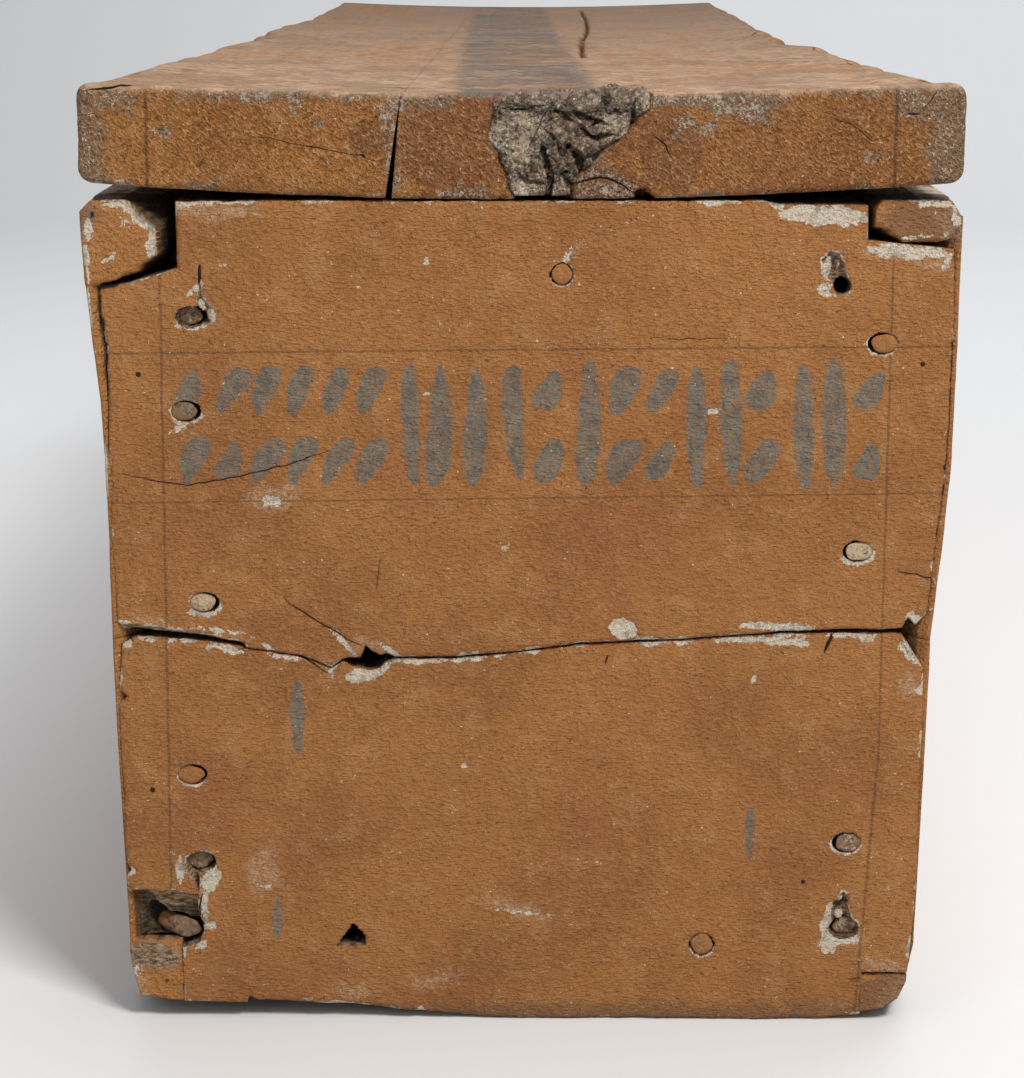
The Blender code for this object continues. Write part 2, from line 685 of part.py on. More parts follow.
# Broken patches of the near end
break_away(near_upper, "top_peg_break", BREAK_AROUND_TOP_PEG, peg_place(LEFT, True, 0))
break_away(near_upper, "empty_hole_break", BREAK_ABOVE_EMPTY_HOLE,
           (across(RIGHT, empty_start, empty_height), empty_height))
break_away(near_lower, "low_peg_break", BREAK_BELOW_PEG, peg_place(LEFT, False, 1))
break_away(near_lower, "foot_peg_break", BREAK_AT_FOOT_PEG, peg_place(RIGHT, False, 1))
break_away(near_lower, "floor_hole_break", FLOOR_HOLE, (FLOOR_HOLE_X, floor_middle), WALL + CUT_PAST, 1.0)
corner = [(across(LEFT, inward, height), height) for inward, height in CORNER_BREAK]
corner.append((across(LEFT, -CUT_PAST, 0.0), FOOT_SHOULDER[LEFT] - CUT_PAST))
corner_depth = WALL * CORNER_BREAK_WALL_SHARE
cut(near_lower, prism_cutter("corner_break", -1, corner, corner_depth, CORNER_BREAK_FLOOR_SHARE))

# Lid
lid = {side: lid_plank(side, weathered) for side in (LEFT, RIGHT)}
pocket_depths = (-CUT_PAST, MUD_DEPTH + FIT)
pocket = cutter("mud_pocket", [pocket_section(depth) for depth in pocket_depths])
cut(lid[RIGHT], pocket)
mud_patch(mud)
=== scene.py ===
"""An old plank coffin with mitred, pegged corners and a flat lid: ochre paint over a thin white ground.

Metres, +Z up. The near end faces -Y and the box stands on z = 0. Every surface is worked out as whole arrays:
a grid of places is mapped to the board's shape, then its relief is taken away, never added, so that each
piece stays inside the solid that it stands for.
"""
import math

import bpy
import numpy as np
from mathutils import Euler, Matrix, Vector


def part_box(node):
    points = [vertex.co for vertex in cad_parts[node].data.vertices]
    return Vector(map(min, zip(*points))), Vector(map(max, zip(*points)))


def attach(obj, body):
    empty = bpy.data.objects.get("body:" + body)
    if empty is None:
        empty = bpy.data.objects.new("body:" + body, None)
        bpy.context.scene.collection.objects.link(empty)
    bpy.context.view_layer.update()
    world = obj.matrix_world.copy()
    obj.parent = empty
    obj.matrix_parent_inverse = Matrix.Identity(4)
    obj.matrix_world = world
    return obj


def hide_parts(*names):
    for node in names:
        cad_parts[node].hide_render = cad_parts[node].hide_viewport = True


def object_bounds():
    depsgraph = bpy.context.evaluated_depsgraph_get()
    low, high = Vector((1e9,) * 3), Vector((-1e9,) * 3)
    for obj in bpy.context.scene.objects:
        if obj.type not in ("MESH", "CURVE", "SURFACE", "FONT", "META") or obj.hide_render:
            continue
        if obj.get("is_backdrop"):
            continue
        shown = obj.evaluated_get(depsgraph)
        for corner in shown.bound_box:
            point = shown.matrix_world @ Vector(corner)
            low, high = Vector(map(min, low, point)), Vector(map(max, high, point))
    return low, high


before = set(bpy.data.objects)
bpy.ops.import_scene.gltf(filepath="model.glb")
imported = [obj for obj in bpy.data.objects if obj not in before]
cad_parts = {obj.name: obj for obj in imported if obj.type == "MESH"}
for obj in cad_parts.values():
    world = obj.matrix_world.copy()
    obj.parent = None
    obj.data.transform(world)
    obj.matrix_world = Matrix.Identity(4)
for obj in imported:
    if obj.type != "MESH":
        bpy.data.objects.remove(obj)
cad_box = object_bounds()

# The view: a long lens in front of the near end, a little above the lid and looking down on it. A pale floor
# sweeps up behind the box, and soft light comes from above and in front, with a little more from the right.
PHOTO_HEIGHT = 1078
FOCAL_PIXELS = 2681
SENSOR = 36.0
EYE = (0.005, -2.42, 0.593)
LOOK_DOWN = math.radians(12.5)
LOOK_LEFT = math.radians(0.385)

scene = bpy.context.scene
scene.view_settings.view_transform = "Standard"

camera = bpy.data.objects.new("camera", bpy.data.cameras.new("camera"))
scene.collection.objects.link(camera)
camera.location = EYE
camera.rotation_euler = Euler((math.pi / 2 - LOOK_DOWN, 0.0, LOOK_LEFT))
camera.data.sensor_width = SENSOR
camera.data.lens = FOCAL_PIXELS * SENSOR / PHOTO_HEIGHT
scene.camera = camera


def soft_light(name, place, aim, size, power, colour):
    """A square soft light at a place, turned to face its aim."""
    lamp = bpy.data.lights.new(name, "AREA")
    lamp.shape = "SQUARE"
    lamp.size = size
    lamp.energy = power
    lamp.color = colour
    light = bpy.data.objects.new(name, lamp)
    scene.collection.objects.link(light)
    light.location = place
    facing = Vector([to - at for to, at in zip(aim, place)])
    light.rotation_euler = facing.to_track_quat("-Z", "Y").to_euler()


WARM_WHITE = (1.0, 0.985, 0.965)
COOL_WHITE = (0.95, 0.975, 1.0)
soft_light("key light", (1.0, -2.5, 2.5), (0.0, -1.0, 0.25), 0.8, 68.0, WARM_WHITE)
soft_light("fill light", (-2.2, -3.0, 1.2), (0.0, -1.0, 0.25), 1.8, 11.0, COOL_WHITE)
soft_light("top light", (0.3, 0.4, 3.2), (0.0, 0.2, 0.4), 2.2, 50.0, COOL_WHITE)
soft_light("backdrop light", (1.6, 2.6, 3.4), (0.9, 5.0, 0.6), 2.6, 50.0, COOL_WHITE)

ROOM_TONE = (0.8, 0.82, 0.85, 1.0)
ROOM_GLOW = 0.36
world = bpy.data.worlds.new("pale room")
world.use_nodes = True
room = world.node_tree.nodes["Background"].inputs
room["Color"].default_value = ROOM_TONE
room["Strength"].default_value = ROOM_GLOW
scene.world = world

FLOOR_HALF = 7.0
FLOOR_TONE = (0.82, 0.82, 0.82, 1.0)
SWEEP_START = 3.4
SWEEP_ROUND = 1.6
SWEEP_RISE = 4.5
bend = np.radians(np.linspace(0.0, 90.0, 25))
floor_y = np.concatenate([[-FLOOR_HALF], SWEEP_START + SWEEP_ROUND * np.sin(bend),
                          [SWEEP_START + SWEEP_ROUND]])
floor_z = np.concatenate([[0.0], SWEEP_ROUND * (1 - np.cos(bend)), [SWEEP_RISE]])
floor_mesh = bpy.data.meshes.new("floor")
floor_points = [(x, y, z) for y, z in zip(floor_y, floor_z) for x in (-FLOOR_HALF, FLOOR_HALF)]
floor_faces = [(k, k + 1, k + 3, k + 2) for k in range(0, 2 * len(floor_y) - 2, 2)]
floor_mesh.from_pydata(floor_points, [], floor_faces)
floor_mesh.shade_smooth()
floor = bpy.data.objects.new("floor", floor_mesh)
scene.collection.objects.link(floor)
floor_paint = bpy.data.materials.new("matt floor")
floor_paint.use_nodes = True
floor_shader = floor_paint.node_tree.nodes["Principled BSDF"].inputs
floor_shader["Base Color"].default_value = FLOOR_TONE
floor_shader["Roughness"].default_value = 0.8
floor_mesh.materials.append(floor_paint)
floor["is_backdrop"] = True


# The near end: two wide softwood planks, one above the other, mitred and pegged to the sides, whose shoulders
# come through at its corners. Ochre paint lies on a thin white ground; both have broken away round the pegs
# and along the arrises.
near_y = cad_box[0].y
far_y = cad_box[1].y
WALL = 0.048
MITRE_TIP = 0.0015
MITRE_PLAY = 0.0006
BOX_HEIGHT = 0.461
SEAM_HEIGHT = 0.2215
# How deep below the end plane still counts as face, and what a mask reads outside all of its patches
FACE_DEPTH = 0.0075
OUTSIDE = -0.05


def ramp(value, full=1.0):
    """A share, 0 to 1, that grows evenly with a value and is whole at the full one."""
    return np.clip(value / full, 0, 1)


def dice(ix, iy, iz, seed):
    """A fixed random share, 0 to 1, for each whole-number place, its numbers multiplied, added and mixed."""
    with np.errstate(over="ignore"):
        mixed = ix.astype(np.int64).astype(np.uint32) * np.uint32(374761393)
        mixed = mixed + iy.astype(np.int64).astype(np.uint32) * np.uint32(668265263)
        mixed = mixed + iz.astype(np.int64).astype(np.uint32) * np.uint32(2246822519)
        mixed = mixed + np.uint32(seed * 3266489917 % 4294967296)
        mixed = (mixed ^ (mixed >> np.uint32(15))) * np.uint32(2246822519)
        mixed = (mixed ^ (mixed >> np.uint32(13))) * np.uint32(3266489917)
    return (mixed ^ (mixed >> np.uint32(16))) / 4294967296.0


def cloud(x, y, z, size, seed):
    """Smooth noise, -1 to 1: random values on a lattice of that size, blended between by 3t^2 - 2t^3."""
    x, y, z = np.broadcast_arrays(x, y, z)
    floors, blends = [], []
    for place in (x, y, z):
        cell = np.floor(place / size)
        t = place / size - cell
        floors.append(cell)
        blends.append(t * t * (3 - 2 * t))
    total = 0.0
    for dx in (0, 1):
        for dy in (0, 1):
            for dz in (0, 1):
                weight = (blends[0] if dx else 1 - blends[0]) * (blends[1] if dy else 1 - blends[1])
                weight = weight * (blends[2] if dz else 1 - blends[2])
                total = total + weight * dice(floors[0] + dx, floors[1] + dy, floors[2] + dz, seed)
    return total * 2 - 1


def clouds(x, y, z, size, layers, seed):
    """Rough noise: layers of smooth noise, each half the size and half the height of the one before."""
    return sum(cloud(x, y, z, size / 2 ** k, seed + k) / 2 ** k for k in range(layers))


def pits(a, b, size, chance, seed):
    """Round pits: a random point and radius in each cell that has one, and 1 - (distance / radius)^2."""
    cell_a, cell_b = np.floor(a / size), np.floor(b / size)
    deepest = np.zeros(np.shape(a))
    zero = np.zeros(np.shape(a))
    for da in (-1, 0, 1):
        for db in (-1, 0, 1):
            ca, cb = cell_a + da, cell_b + db
            away_a = a / size - ca - dice(ca, cb, zero, seed)
            away_b = b / size - cb - dice(ca, cb, zero + 1, seed)
            radius = 0.16 + 0.36 * dice(ca, cb, zero + 2, seed) ** 2
            pit = 1 - (away_a ** 2 + away_b ** 2) / radius ** 2
            pit = pit * (dice(ca, cb, zero + 3, seed) < chance)
            deepest = np.maximum(deepest, pit)
    return deepest


def within(x, z, outline):
    """Distance in from a closed outline, below 0 outside it: to the nearest point on any straight edge."""
    nearest = np.full(np.shape(x), np.inf)
    inside = np.zeros(np.shape(x), bool)
    for (ax, az), (bx, bz) in zip(outline, outline[1:] + outline[:1]):
        ex, ez = bx - ax, bz - az
        t = np.clip(((x - ax) * ex + (z - az) * ez) / (ex * ex + ez * ez), 0, 1)
        nearest = np.minimum(nearest, np.hypot(x - ax - t * ex, z - az - t * ez))
        if ez:
            inside ^= ((az > z) != (bz > z)) & (x < ax + ex * (z - az) / ez)
    return np.where(inside, nearest, -nearest)


def rounded(distance, radius):
    """Depth of a worn arris at a distance in from the edge: a quarter circle of that radius."""
    short = np.clip(1 - distance / radius, 0, 1)
    return radius * (1 - np.sqrt(1 - np.minimum(short, 0.999) ** 2))


def line(stations, places):
    """A value read off straight runs between stations, each a place and a value."""
    where, value = zip(*stations)
    return np.interp(places, where, value)


def make_piece(name, points, faces, masks=None):
    """A closed mesh object from arrays of points and faces, turned outward by its signed volume."""
    triangles = np.concatenate([f[:, (0, k, k + 1)] for f in faces for k in range(1, f.shape[1] - 1)])
    a, b, c = (points[triangles[:, k]] for k in range(3))
    if np.einsum("ij,ij->i", a, np.cross(b, c)).sum() < 0:
        faces = [f[:, ::-1] for f in faces]
    mesh = bpy.data.meshes.new(name)
    mesh.vertices.add(len(points))
    mesh.vertices.foreach_set("co", points.astype(np.float32).ravel())
    sizes = np.concatenate([np.full(len(f), f.shape[1]) for f in faces])
    mesh.loops.add(int(sizes.sum()))
    mesh.loops.foreach_set("vertex_index", np.concatenate([f.ravel() for f in faces]).astype(np.int32))
    mesh.polygons.add(len(sizes))
    mesh.polygons.foreach_set("loop_start", (np.cumsum(sizes) - sizes).astype(np.int32))
    mesh.update(calc_edges=True)
    mesh.shade_smooth()
    for mask, values in (masks or {}).items():
        layer = mesh.attributes.new(mask, "FLOAT", "POINT")
        layer.data.foreach_set("value", np.broadcast_to(values, len(points)).astype(np.float32))
    piece = bpy.data.objects.new(name, mesh)
    scene.collection.objects.link(piece)
    return piece


def sheet_faces(rows, columns, keep=None):
    """The four-sided faces of a grid of points, without the cells that keep leaves out."""
    first = np.arange(rows - 1)[:, None] * columns + np.arange(columns - 1)
    quads = np.stack([first, first + 1, first + columns + 1, first + columns], -1)
    return quads.reshape(-1, 4) if keep is None else quads[keep]


def backed_sheet(points, quads, rings, middle):
    """A sheet closed behind: its border goes back through rings, the last filled to a middle point.

    rings is a list of functions, each from the border's points to the same points further back.
    """
    edges = np.concatenate([quads[:, (k, (k + 1) % 4)] for k in range(4)])
    count = len(points)
    forward = edges[:, 0] * count + edges[:, 1]
    border = edges[~np.isin(forward, edges[:, 1] * count + edges[:, 0])]
    rim = np.unique(border)
    place = np.full(count, -1)
    place[rim] = np.arange(len(rim))
    a, b = border[:, 0], border[:, 1]
    inner_a, inner_b = place[a], place[b]
    layers, faces = [points], [quads]
    for number, ring in enumerate(rings):
        start = count + number * len(rim)
        layers.append(ring(points[rim]))
        faces.append(np.stack([b, a, start + inner_a, start + inner_b], -1))
        a, b = start + inner_a, start + inner_b
    layers.append(np.array([middle]))
    last = count + len(rings) * len(rim)
    fan = np.stack([b, a, np.full(len(a), last)], -1)
    points = np.concatenate(layers)
    used = np.zeros(len(points), bool)
    for f in faces + [fan]:
        used[f] = True
    renumber = np.cumsum(used) - 1
    return points[used], [renumber[np.concatenate(faces)], renumber[fan]]


def steps(*runs):
    """Shares from 0 to 1 along runs, each a length and how many equal steps it has."""
    total = sum(length for length, count in runs)
    places, at = [0.0], 0.0
    for length, count in runs:
        places += [at + length * (k + 1) / count for k in range(count)]
        at += length
    return np.array(places) / total


# How far the outer faces of the sides stand from the middle, by height
OUT_LEFT = (
    (0.0, 0.2235), (0.284, 0.2238), (0.322, 0.2247), (0.353, 0.2261), (0.389, 0.2294), (0.425, 0.2328),
    (0.461, 0.234),
)
OUT_RIGHT = (
    (0.0, 0.2245), (0.2215, 0.2245), (0.2526, 0.2272), (0.2838, 0.23), (0.322, 0.2327), (0.389, 0.2335),
    (0.461, 0.234),
)


def face_out(side, z):
    """How far a side's outer face stands out at a height; side is -1 for the left and 1 for the right."""
    return line(OUT_LEFT if side < 0 else OUT_RIGHT, z)


# Worn edges of the two planks: height, place across
UPPER_LEFT = (
    (0.222, -0.22), (0.236, -0.2212), (0.262, -0.2222), (0.3, -0.2226), (0.322, -0.2225), (0.345, -0.2222),
    (0.36, -0.2226), (0.38, -0.2222), (0.4, -0.2245), (0.414, -0.225),
)
UPPER_RIGHT = (
    (0.222, 0.2215), (0.236, 0.2222), (0.255, 0.2242), (0.284, 0.2272), (0.313, 0.2304), (0.34, 0.2312),
    (0.355, 0.2316), (0.4, 0.2318), (0.425, 0.2305), (0.437, 0.2295),
)
LOWER_LEFT = (
    (0.008, -0.213), (0.014, -0.214), (0.032, -0.2182), (0.061, -0.2195), (0.085, -0.22), (0.088, -0.2175),
    (0.093, -0.22), (0.103, -0.221), (0.152, -0.2213), (0.185, -0.2213), (0.1885, -0.2165), (0.193, -0.221),
    (0.215, -0.219),
)
LOWER_RIGHT = (
    (0.008, 0.206), (0.023, 0.217), (0.053, 0.22), (0.091, 0.2215), (0.135, 0.2222), (0.193, 0.2222),
    (0.205, 0.2215), (0.213, 0.216), (0.219, 0.21),
)
# The seam: place across with the height of the lower plank's top, and with how far it gapes
SEAM_LINE = (
    (-0.2195, 0.2185), (-0.21, 0.2225), (-0.182, 0.2208), (-0.154, 0.2176), (-0.149, 0.2156),
    (-0.121, 0.2113), (-0.111, 0.2078), (-0.104, 0.204), (-0.0975, 0.209), (-0.093, 0.2058), (-0.088, 0.2045),
    (-0.082, 0.2032), (-0.077, 0.2045), (-0.0735, 0.2085), (-0.069, 0.21), (-0.033, 0.2105), (0.0, 0.214),
    (0.033, 0.218), (0.096, 0.221), (0.143, 0.2245), (0.205, 0.225), (0.21, 0.224), (0.216, 0.211),
)
SEAM_OPENING = (
    (-0.2195, 0.0068), (-0.208, 0.004), (-0.18, 0.0027), (-0.154, 0.0021), (-0.1512, 0.0019), (-0.15, 0.0007),
    (-0.0975, 0.0007), (-0.094, 0.0045), (-0.0868, 0.007), (-0.0856, 0.0146), (-0.074, 0.005),
    (-0.069, 0.001), (0.12, 0.0008), (0.16, 0.0018), (0.205, 0.0026), (0.209, 0.004), (0.212, 0.014),
    (0.222, 0.025),
)
TOP_RIM = (
    (-0.183, 0.4602), (-0.12, 0.4608), (-0.06, 0.4606), (0.128, 0.4608), (0.136, 0.459), (0.184, 0.4585),
)
LEDGE = ((-0.227, 0.4145), (-0.206, 0.418), (-0.19, 0.4225), (-0.183, 0.425), (0.184, 0.44), (0.231, 0.4355))
FOOT_LINE = (
    (-0.19, 0.01), (-0.154, 0.0092), (-0.153, 0.013), (-0.148, 0.0105), (-0.092, 0.0078), (-0.048, 0.0035),
    (-0.02, 0.0004), (0.04, 0.0004), (0.168, 0.0004), (0.192, 0.0035),
)
FOOT_LEDGE = ((-0.22, 0.0475), (-0.19, 0.0475), (0.192, 0.0285), (0.222, 0.0285))
NOTCH_LEFT, NOTCH_RIGHT = -0.183, 0.184
FOOT_NOTCH_LEFT, FOOT_NOTCH_RIGHT = -0.19, 0.192


def end_sheet(left, right, bottom, ledge, top, notches, column_runs, row_runs, wobble):
    """Places of a notched plank's face grid.

    Across, three strips meet at the notch walls, and up, two bands meet at the ledge; a place is a share
    along the straight line between a strip's sides, x = a + (b - a) s, and the same up between a band's
    edges.
    """
    strips = [steps(*runs) for runs in column_runs]
    bands = [steps(*runs) for runs in row_runs]
    strip = np.concatenate([np.full(len(s) - (k > 0), k) for k, s in enumerate(strips)])
    s = np.concatenate([s[(k > 0):] for k, s in enumerate(strips)])[None, :]
    band = np.concatenate([np.full(len(t) - (k > 0), k) for k, t in enumerate(bands)])
    t = np.concatenate([t[(k > 0):] for k, t in enumerate(bands)])[:, None]
    low, middle, high = line(bottom, 0.0), line(ledge, 0.0), line(top, 0.0)
    z = np.where(band[:, None] == 0, low + (middle - low) * t, middle + (high - middle) * t) + s * 0
    for _ in range(3):
        edge_left = line(left, z) + wobble * clouds(0.0, 0.0, z, 0.004, 2, 11)
        edge_right = line(right, z) + wobble * clouds(0.3, 0.0, z, 0.004, 2, 12)
        across_left = edge_left + (notches[0] - edge_left) * s
        across_middle = notches[0] + (notches[1] - notches[0]) * s
        across_right = notches[1] + (edge_right - notches[1]) * s
        x = np.select([strip == 0, strip == 1], [across_left, across_middle], across_right)
        low = line(bottom, x) + wobble * clouds(x, 0.1, 0.0, 0.004, 2, 13)
        middle = line(ledge, x)
        high = line(top, x) + wobble * clouds(x, 0.2, 0.0, 0.004, 2, 14)
        z = np.where(band[:, None] == 0, low + (middle - low) * t, middle + (high - middle) * t)
    cell_strip = np.maximum(strip[1:], strip[:-1])[None, :]
    cell_band = np.maximum(band[1:], band[:-1])[:, None]
    return x, z, cell_strip, cell_band


def seam_roof():
    """The upper plank's bottom edge: the lower plank's top with the seam's opening added."""
    places = sorted({station[0] for station in SEAM_LINE + SEAM_OPENING})
    return tuple((x, float(line(SEAM_LINE, x) + line(SEAM_OPENING, x))) for x in places)


def flipped(stations):
    """Edge stations, each a height and a place across, as points across and up."""
    return [(x, z) for z, x in stations]


def patch(x, z, spots):
    """Distance inside the nearest oval patch: with r the root of (across^2 + up^2), 1 - r over r's slope.

    An oval is its middle across and up, its half sizes, and its lean in degrees.
    """
    best = np.full(np.shape(x), OUTSIDE)
    for middle_x, middle_z, half_x, half_z, lean in spots:
        c, s = math.cos(math.radians(lean)), math.sin(math.radians(lean))
        across = ((x - middle_x) * c + (z - middle_z) * s) / half_x
        up = ((z - middle_z) * c - (x - middle_x) * s) / half_z
        r = np.maximum(np.hypot(across, up), 0.001)
        inside = (1 - r) * r / np.maximum(np.hypot(across / half_x, up / half_z), 0.001)
        best = np.maximum(best, np.minimum(inside, min(half_x, half_z)))
    return best


def dabs(x, z, marks):
    """Distance inside the nearest dab of a brush.

    It is half the dab's width times (1 - u^2)^0.4 (1 + taper u), less the distance to its bent spine, where u
    runs from -1 to 1 along it.
    """
    best = np.full(np.shape(x), OUTSIDE)
    for middle_x, middle_z, length, width, lean, taper in marks:
        c, s = math.cos(math.radians(lean)), math.sin(math.radians(lean))
        u = ((x - middle_x) * c + (z - middle_z) * s) * 2 / length
        off = (z - middle_z) * c - (x - middle_x) * s + 0.35 * taper * width * u * u
        thick = width / 2 * np.maximum(1 - u * u, 0) ** 0.4 * (1 + taper * u)
        best = np.maximum(best, thick - np.abs(off) - np.maximum(np.abs(u) - 1, 0) * length)
    return best


def crack_lines(x, z, cracks):
    """Signed distance from the nearest crack, and its half width, 2 w root of (t - t^2) a share t along."""
    x = x + 0.0006 * clouds(x, 0.0, z, 0.006, 2, 41)
    z = z + 0.0006 * clouds(x, 0.0, z, 0.006, 2, 42)
    side = np.full(np.shape(x), 0.01)
    half = np.zeros(np.shape(x))
    for width, points in cracks:
        lengths = [math.dist(a, b) for a, b in zip(points, points[1:])]
        run = 0.0
        for (ax, az), (bx, bz), length in zip(points, points[1:], lengths):
            ex, ez = (bx - ax) / length, (bz - az) / length
            t = np.clip((x - ax) * ex + (z - az) * ez, 0, length)
            away_x, away_z = x - ax - t * ex, z - az - t * ez
            away = np.hypot(away_x, away_z)
            share = (run + t) / sum(lengths)
            closer = away < np.abs(side)
            side = np.where(closer, np.copysign(away, ex * away_z - ez * away_x), side)
            half = np.where(closer, width * np.sqrt(np.maximum(share - share ** 2, 0)), half)
            run += length
    return side, np.where(np.abs(side) < 0.004, half, 0.0)


def settle(x, z, field, reach):
    """Grid places moved onto a field's nearby zero line by one step down its slope, for crisp breaks."""
    d = field(x, z)
    slope_x = np.gradient(d, axis=1) / np.gradient(x, axis=1)
    slope_z = np.gradient(d, axis=0) / np.gradient(z, axis=0)
    steep = np.maximum(slope_x ** 2 + slope_z ** 2, 0.3)
    move = np.where(np.abs(d) < reach, d / steep, 0.0)
    return x - move * slope_x, z - move * slope_z


# A peg that slants at 45 degrees shows a head root 2 as wide as high; the solid part's pegs have ten sides
SLANT = math.sqrt(2)
TEN_SIDED = math.sin(math.radians(72))
# A head that lies deeper than the first has slipped sideways by its depth, as far as the second at most
DEEP_HEAD = 0.0045
MOST_SLIP = 0.0055
PEG_PLAY = 0.0004
# For each near peg: how much broken ground rings it, and how much paint and ground is left on its head
PEG_STATES = {
    "left_1": (1.0, 0.0, 0.5), "left_2": (0.9, 0.2, 0.1), "left_3": (1.4, 0.2, 0.8),
    "left_4": (0.9, 0.8, 0.2), "left_5": (0.6, 0.2, 0.2), "left_6": (0.0, 0.0, 0.0),
    "right_1": (0.5, 0.8, 0.1), "right_2": (1.4, 0.1, 0.9), "right_3": (0.9, 0.2, 0.4),
    "right_4": (0.6, 0.0, 0.6), "centre": (0.3, 0.9, 0.1), "floor": (0.5, 0.7, 0.1),
}


def pegs_of(end, start):
    """The pegs of an end as in the solid part: middle of the head across and up, radius, depth, side."""
    pegs = {}
    for node in sorted(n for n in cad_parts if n.startswith(start)):
        low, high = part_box(node)
        radius = (high.z - low.z) / 2 / TEN_SIDED
        sunk = low.y - near_y if end < 0 else far_y - high.y
        side = -1 if "left" in node else 1 if "right" in node else 0
        across = (low.x + high.x) / 2
        if side:
            slip = min(sunk, MOST_SLIP) if end < 0 and sunk > DEEP_HEAD else 0.0
            across = (high.x if side < 0 else low.x) + side * (radius * SLANT - slip)
        pegs[node] = (across, (low.z + high.z) / 2, radius, sunk, side)
    return pegs


def peg_holes(x, z, pegs, play):
    """Distance inside the nearest peg hole, an oval root 2 as wide as high where the peg slants."""
    return patch(x, z, [(px, pz, radius * (SLANT if side else 1) + play, radius + play, 0)
                        for px, pz, radius, _, side in pegs])


near_pegs = pegs_of(-1, "near_end_peg")
UPPER_PEG_NAMES = ("left_1", "left_2", "left_3", "right_1", "right_2", "centre")
LOWER_PEG_NAMES = tuple(n for n in PEG_STATES if n not in UPPER_PEG_NAMES)
# The hole in the upper plank that has lost its peg, in the same form as a peg
EMPTY_HOLE = (0.171, 0.4158, 0.0044, 0.0, 0)
# Outlines of the breaks. Upper plank: round the top left peg, above the empty hole, over the seam's left end
UPPER_BREAKS = (
    (
        (-0.17, 0.4182), (-0.169, 0.41), (-0.1662, 0.406), (-0.163, 0.4003), (-0.1645, 0.397),
        (-0.1668, 0.3952), (-0.175, 0.395), (-0.1795, 0.3972), (-0.181, 0.4005), (-0.18, 0.4038),
        (-0.1745, 0.4038), (-0.1725, 0.4085), (-0.1713, 0.4165),
    ),
    (
        (0.16, 0.43), (0.164, 0.4345), (0.169, 0.434), (0.1715, 0.429), (0.1748, 0.418), (0.1752, 0.4125),
        (0.1715, 0.411), (0.1668, 0.414), (0.165, 0.4195), (0.1622, 0.4195), (0.1603, 0.426),
    ),
    (
        (-0.224, 0.219), (-0.224, 0.231), (-0.208, 0.23), (-0.18, 0.2254), (-0.1545, 0.2212),
        (-0.1508, 0.2204), (-0.1506, 0.216), (-0.154, 0.2165), (-0.18, 0.2195), (-0.208, 0.221),
    ),
)
# Lower plank: below the left peg, round the right foot peg, and the lost lower left corner
LOWER_BREAKS = (
    (
        (-0.1872, 0.095), (-0.183, 0.0968), (-0.172, 0.0965), (-0.1682, 0.0905), (-0.1745, 0.0895),
        (-0.1788, 0.085), (-0.18, 0.0745), (-0.1835, 0.083), (-0.1868, 0.0895),
    ),
    (
        (0.181, 0.0765), (0.1835, 0.0735), (0.1845, 0.065), (0.1865, 0.06), (0.19, 0.056), (0.1895, 0.0525),
        (0.18, 0.0495), (0.1735, 0.051), (0.1722, 0.055), (0.174, 0.059), (0.1742, 0.0705),
    ),
    (
        (-0.2275, 0.0765), (-0.21, 0.0768), (-0.195, 0.076), (-0.1802, 0.0742), (-0.1792, 0.06),
        (-0.1762, 0.056), (-0.1792, 0.054), (-0.1795, 0.046), (-0.188, 0.042), (-0.2275, 0.042),
    ),
)
FLOOR_HOLE = ((-0.1014, 0.0442), (-0.0939, 0.0555), (-0.0878, 0.0496), (-0.0885, 0.0442))


def ragged(x, z, amount, seed):
    """A small uneven shift for the edge of a break."""
    return amount * clouds(x, 0.0, z, 0.0045, 3, seed)


def broken_in(x, z, outlines, seed, uneven=0.0006):
    """Distance inside the nearest of some breaks, with a ragged edge."""
    return np.max([within(x, z, outline) for outline in outlines], axis=0) + ragged(x, z, uneven, seed)


def floor_hole(x, z):
    """Distance inside the open hole by the floor."""
    return broken_in(x, z, (FLOOR_HOLE,), 53, 0.0003)


def open_holes(x, z):
    """Distance inside the two open holes of the near end: one that has lost its peg and one by the floor."""
    return np.maximum(floor_hole(x, z), peg_holes(x, z, [EMPTY_HOLE], 0.0))


def upper_breaks(x, z):
    """Distance inside the broken places of the upper plank."""
    return broken_in(x, z, UPPER_BREAKS, 51)


def lower_breaks(x, z):
    """Distance inside the broken places of the lower plank and its open hole."""
    return np.maximum(broken_in(x, z, LOWER_BREAKS, 52), floor_hole(x, z))


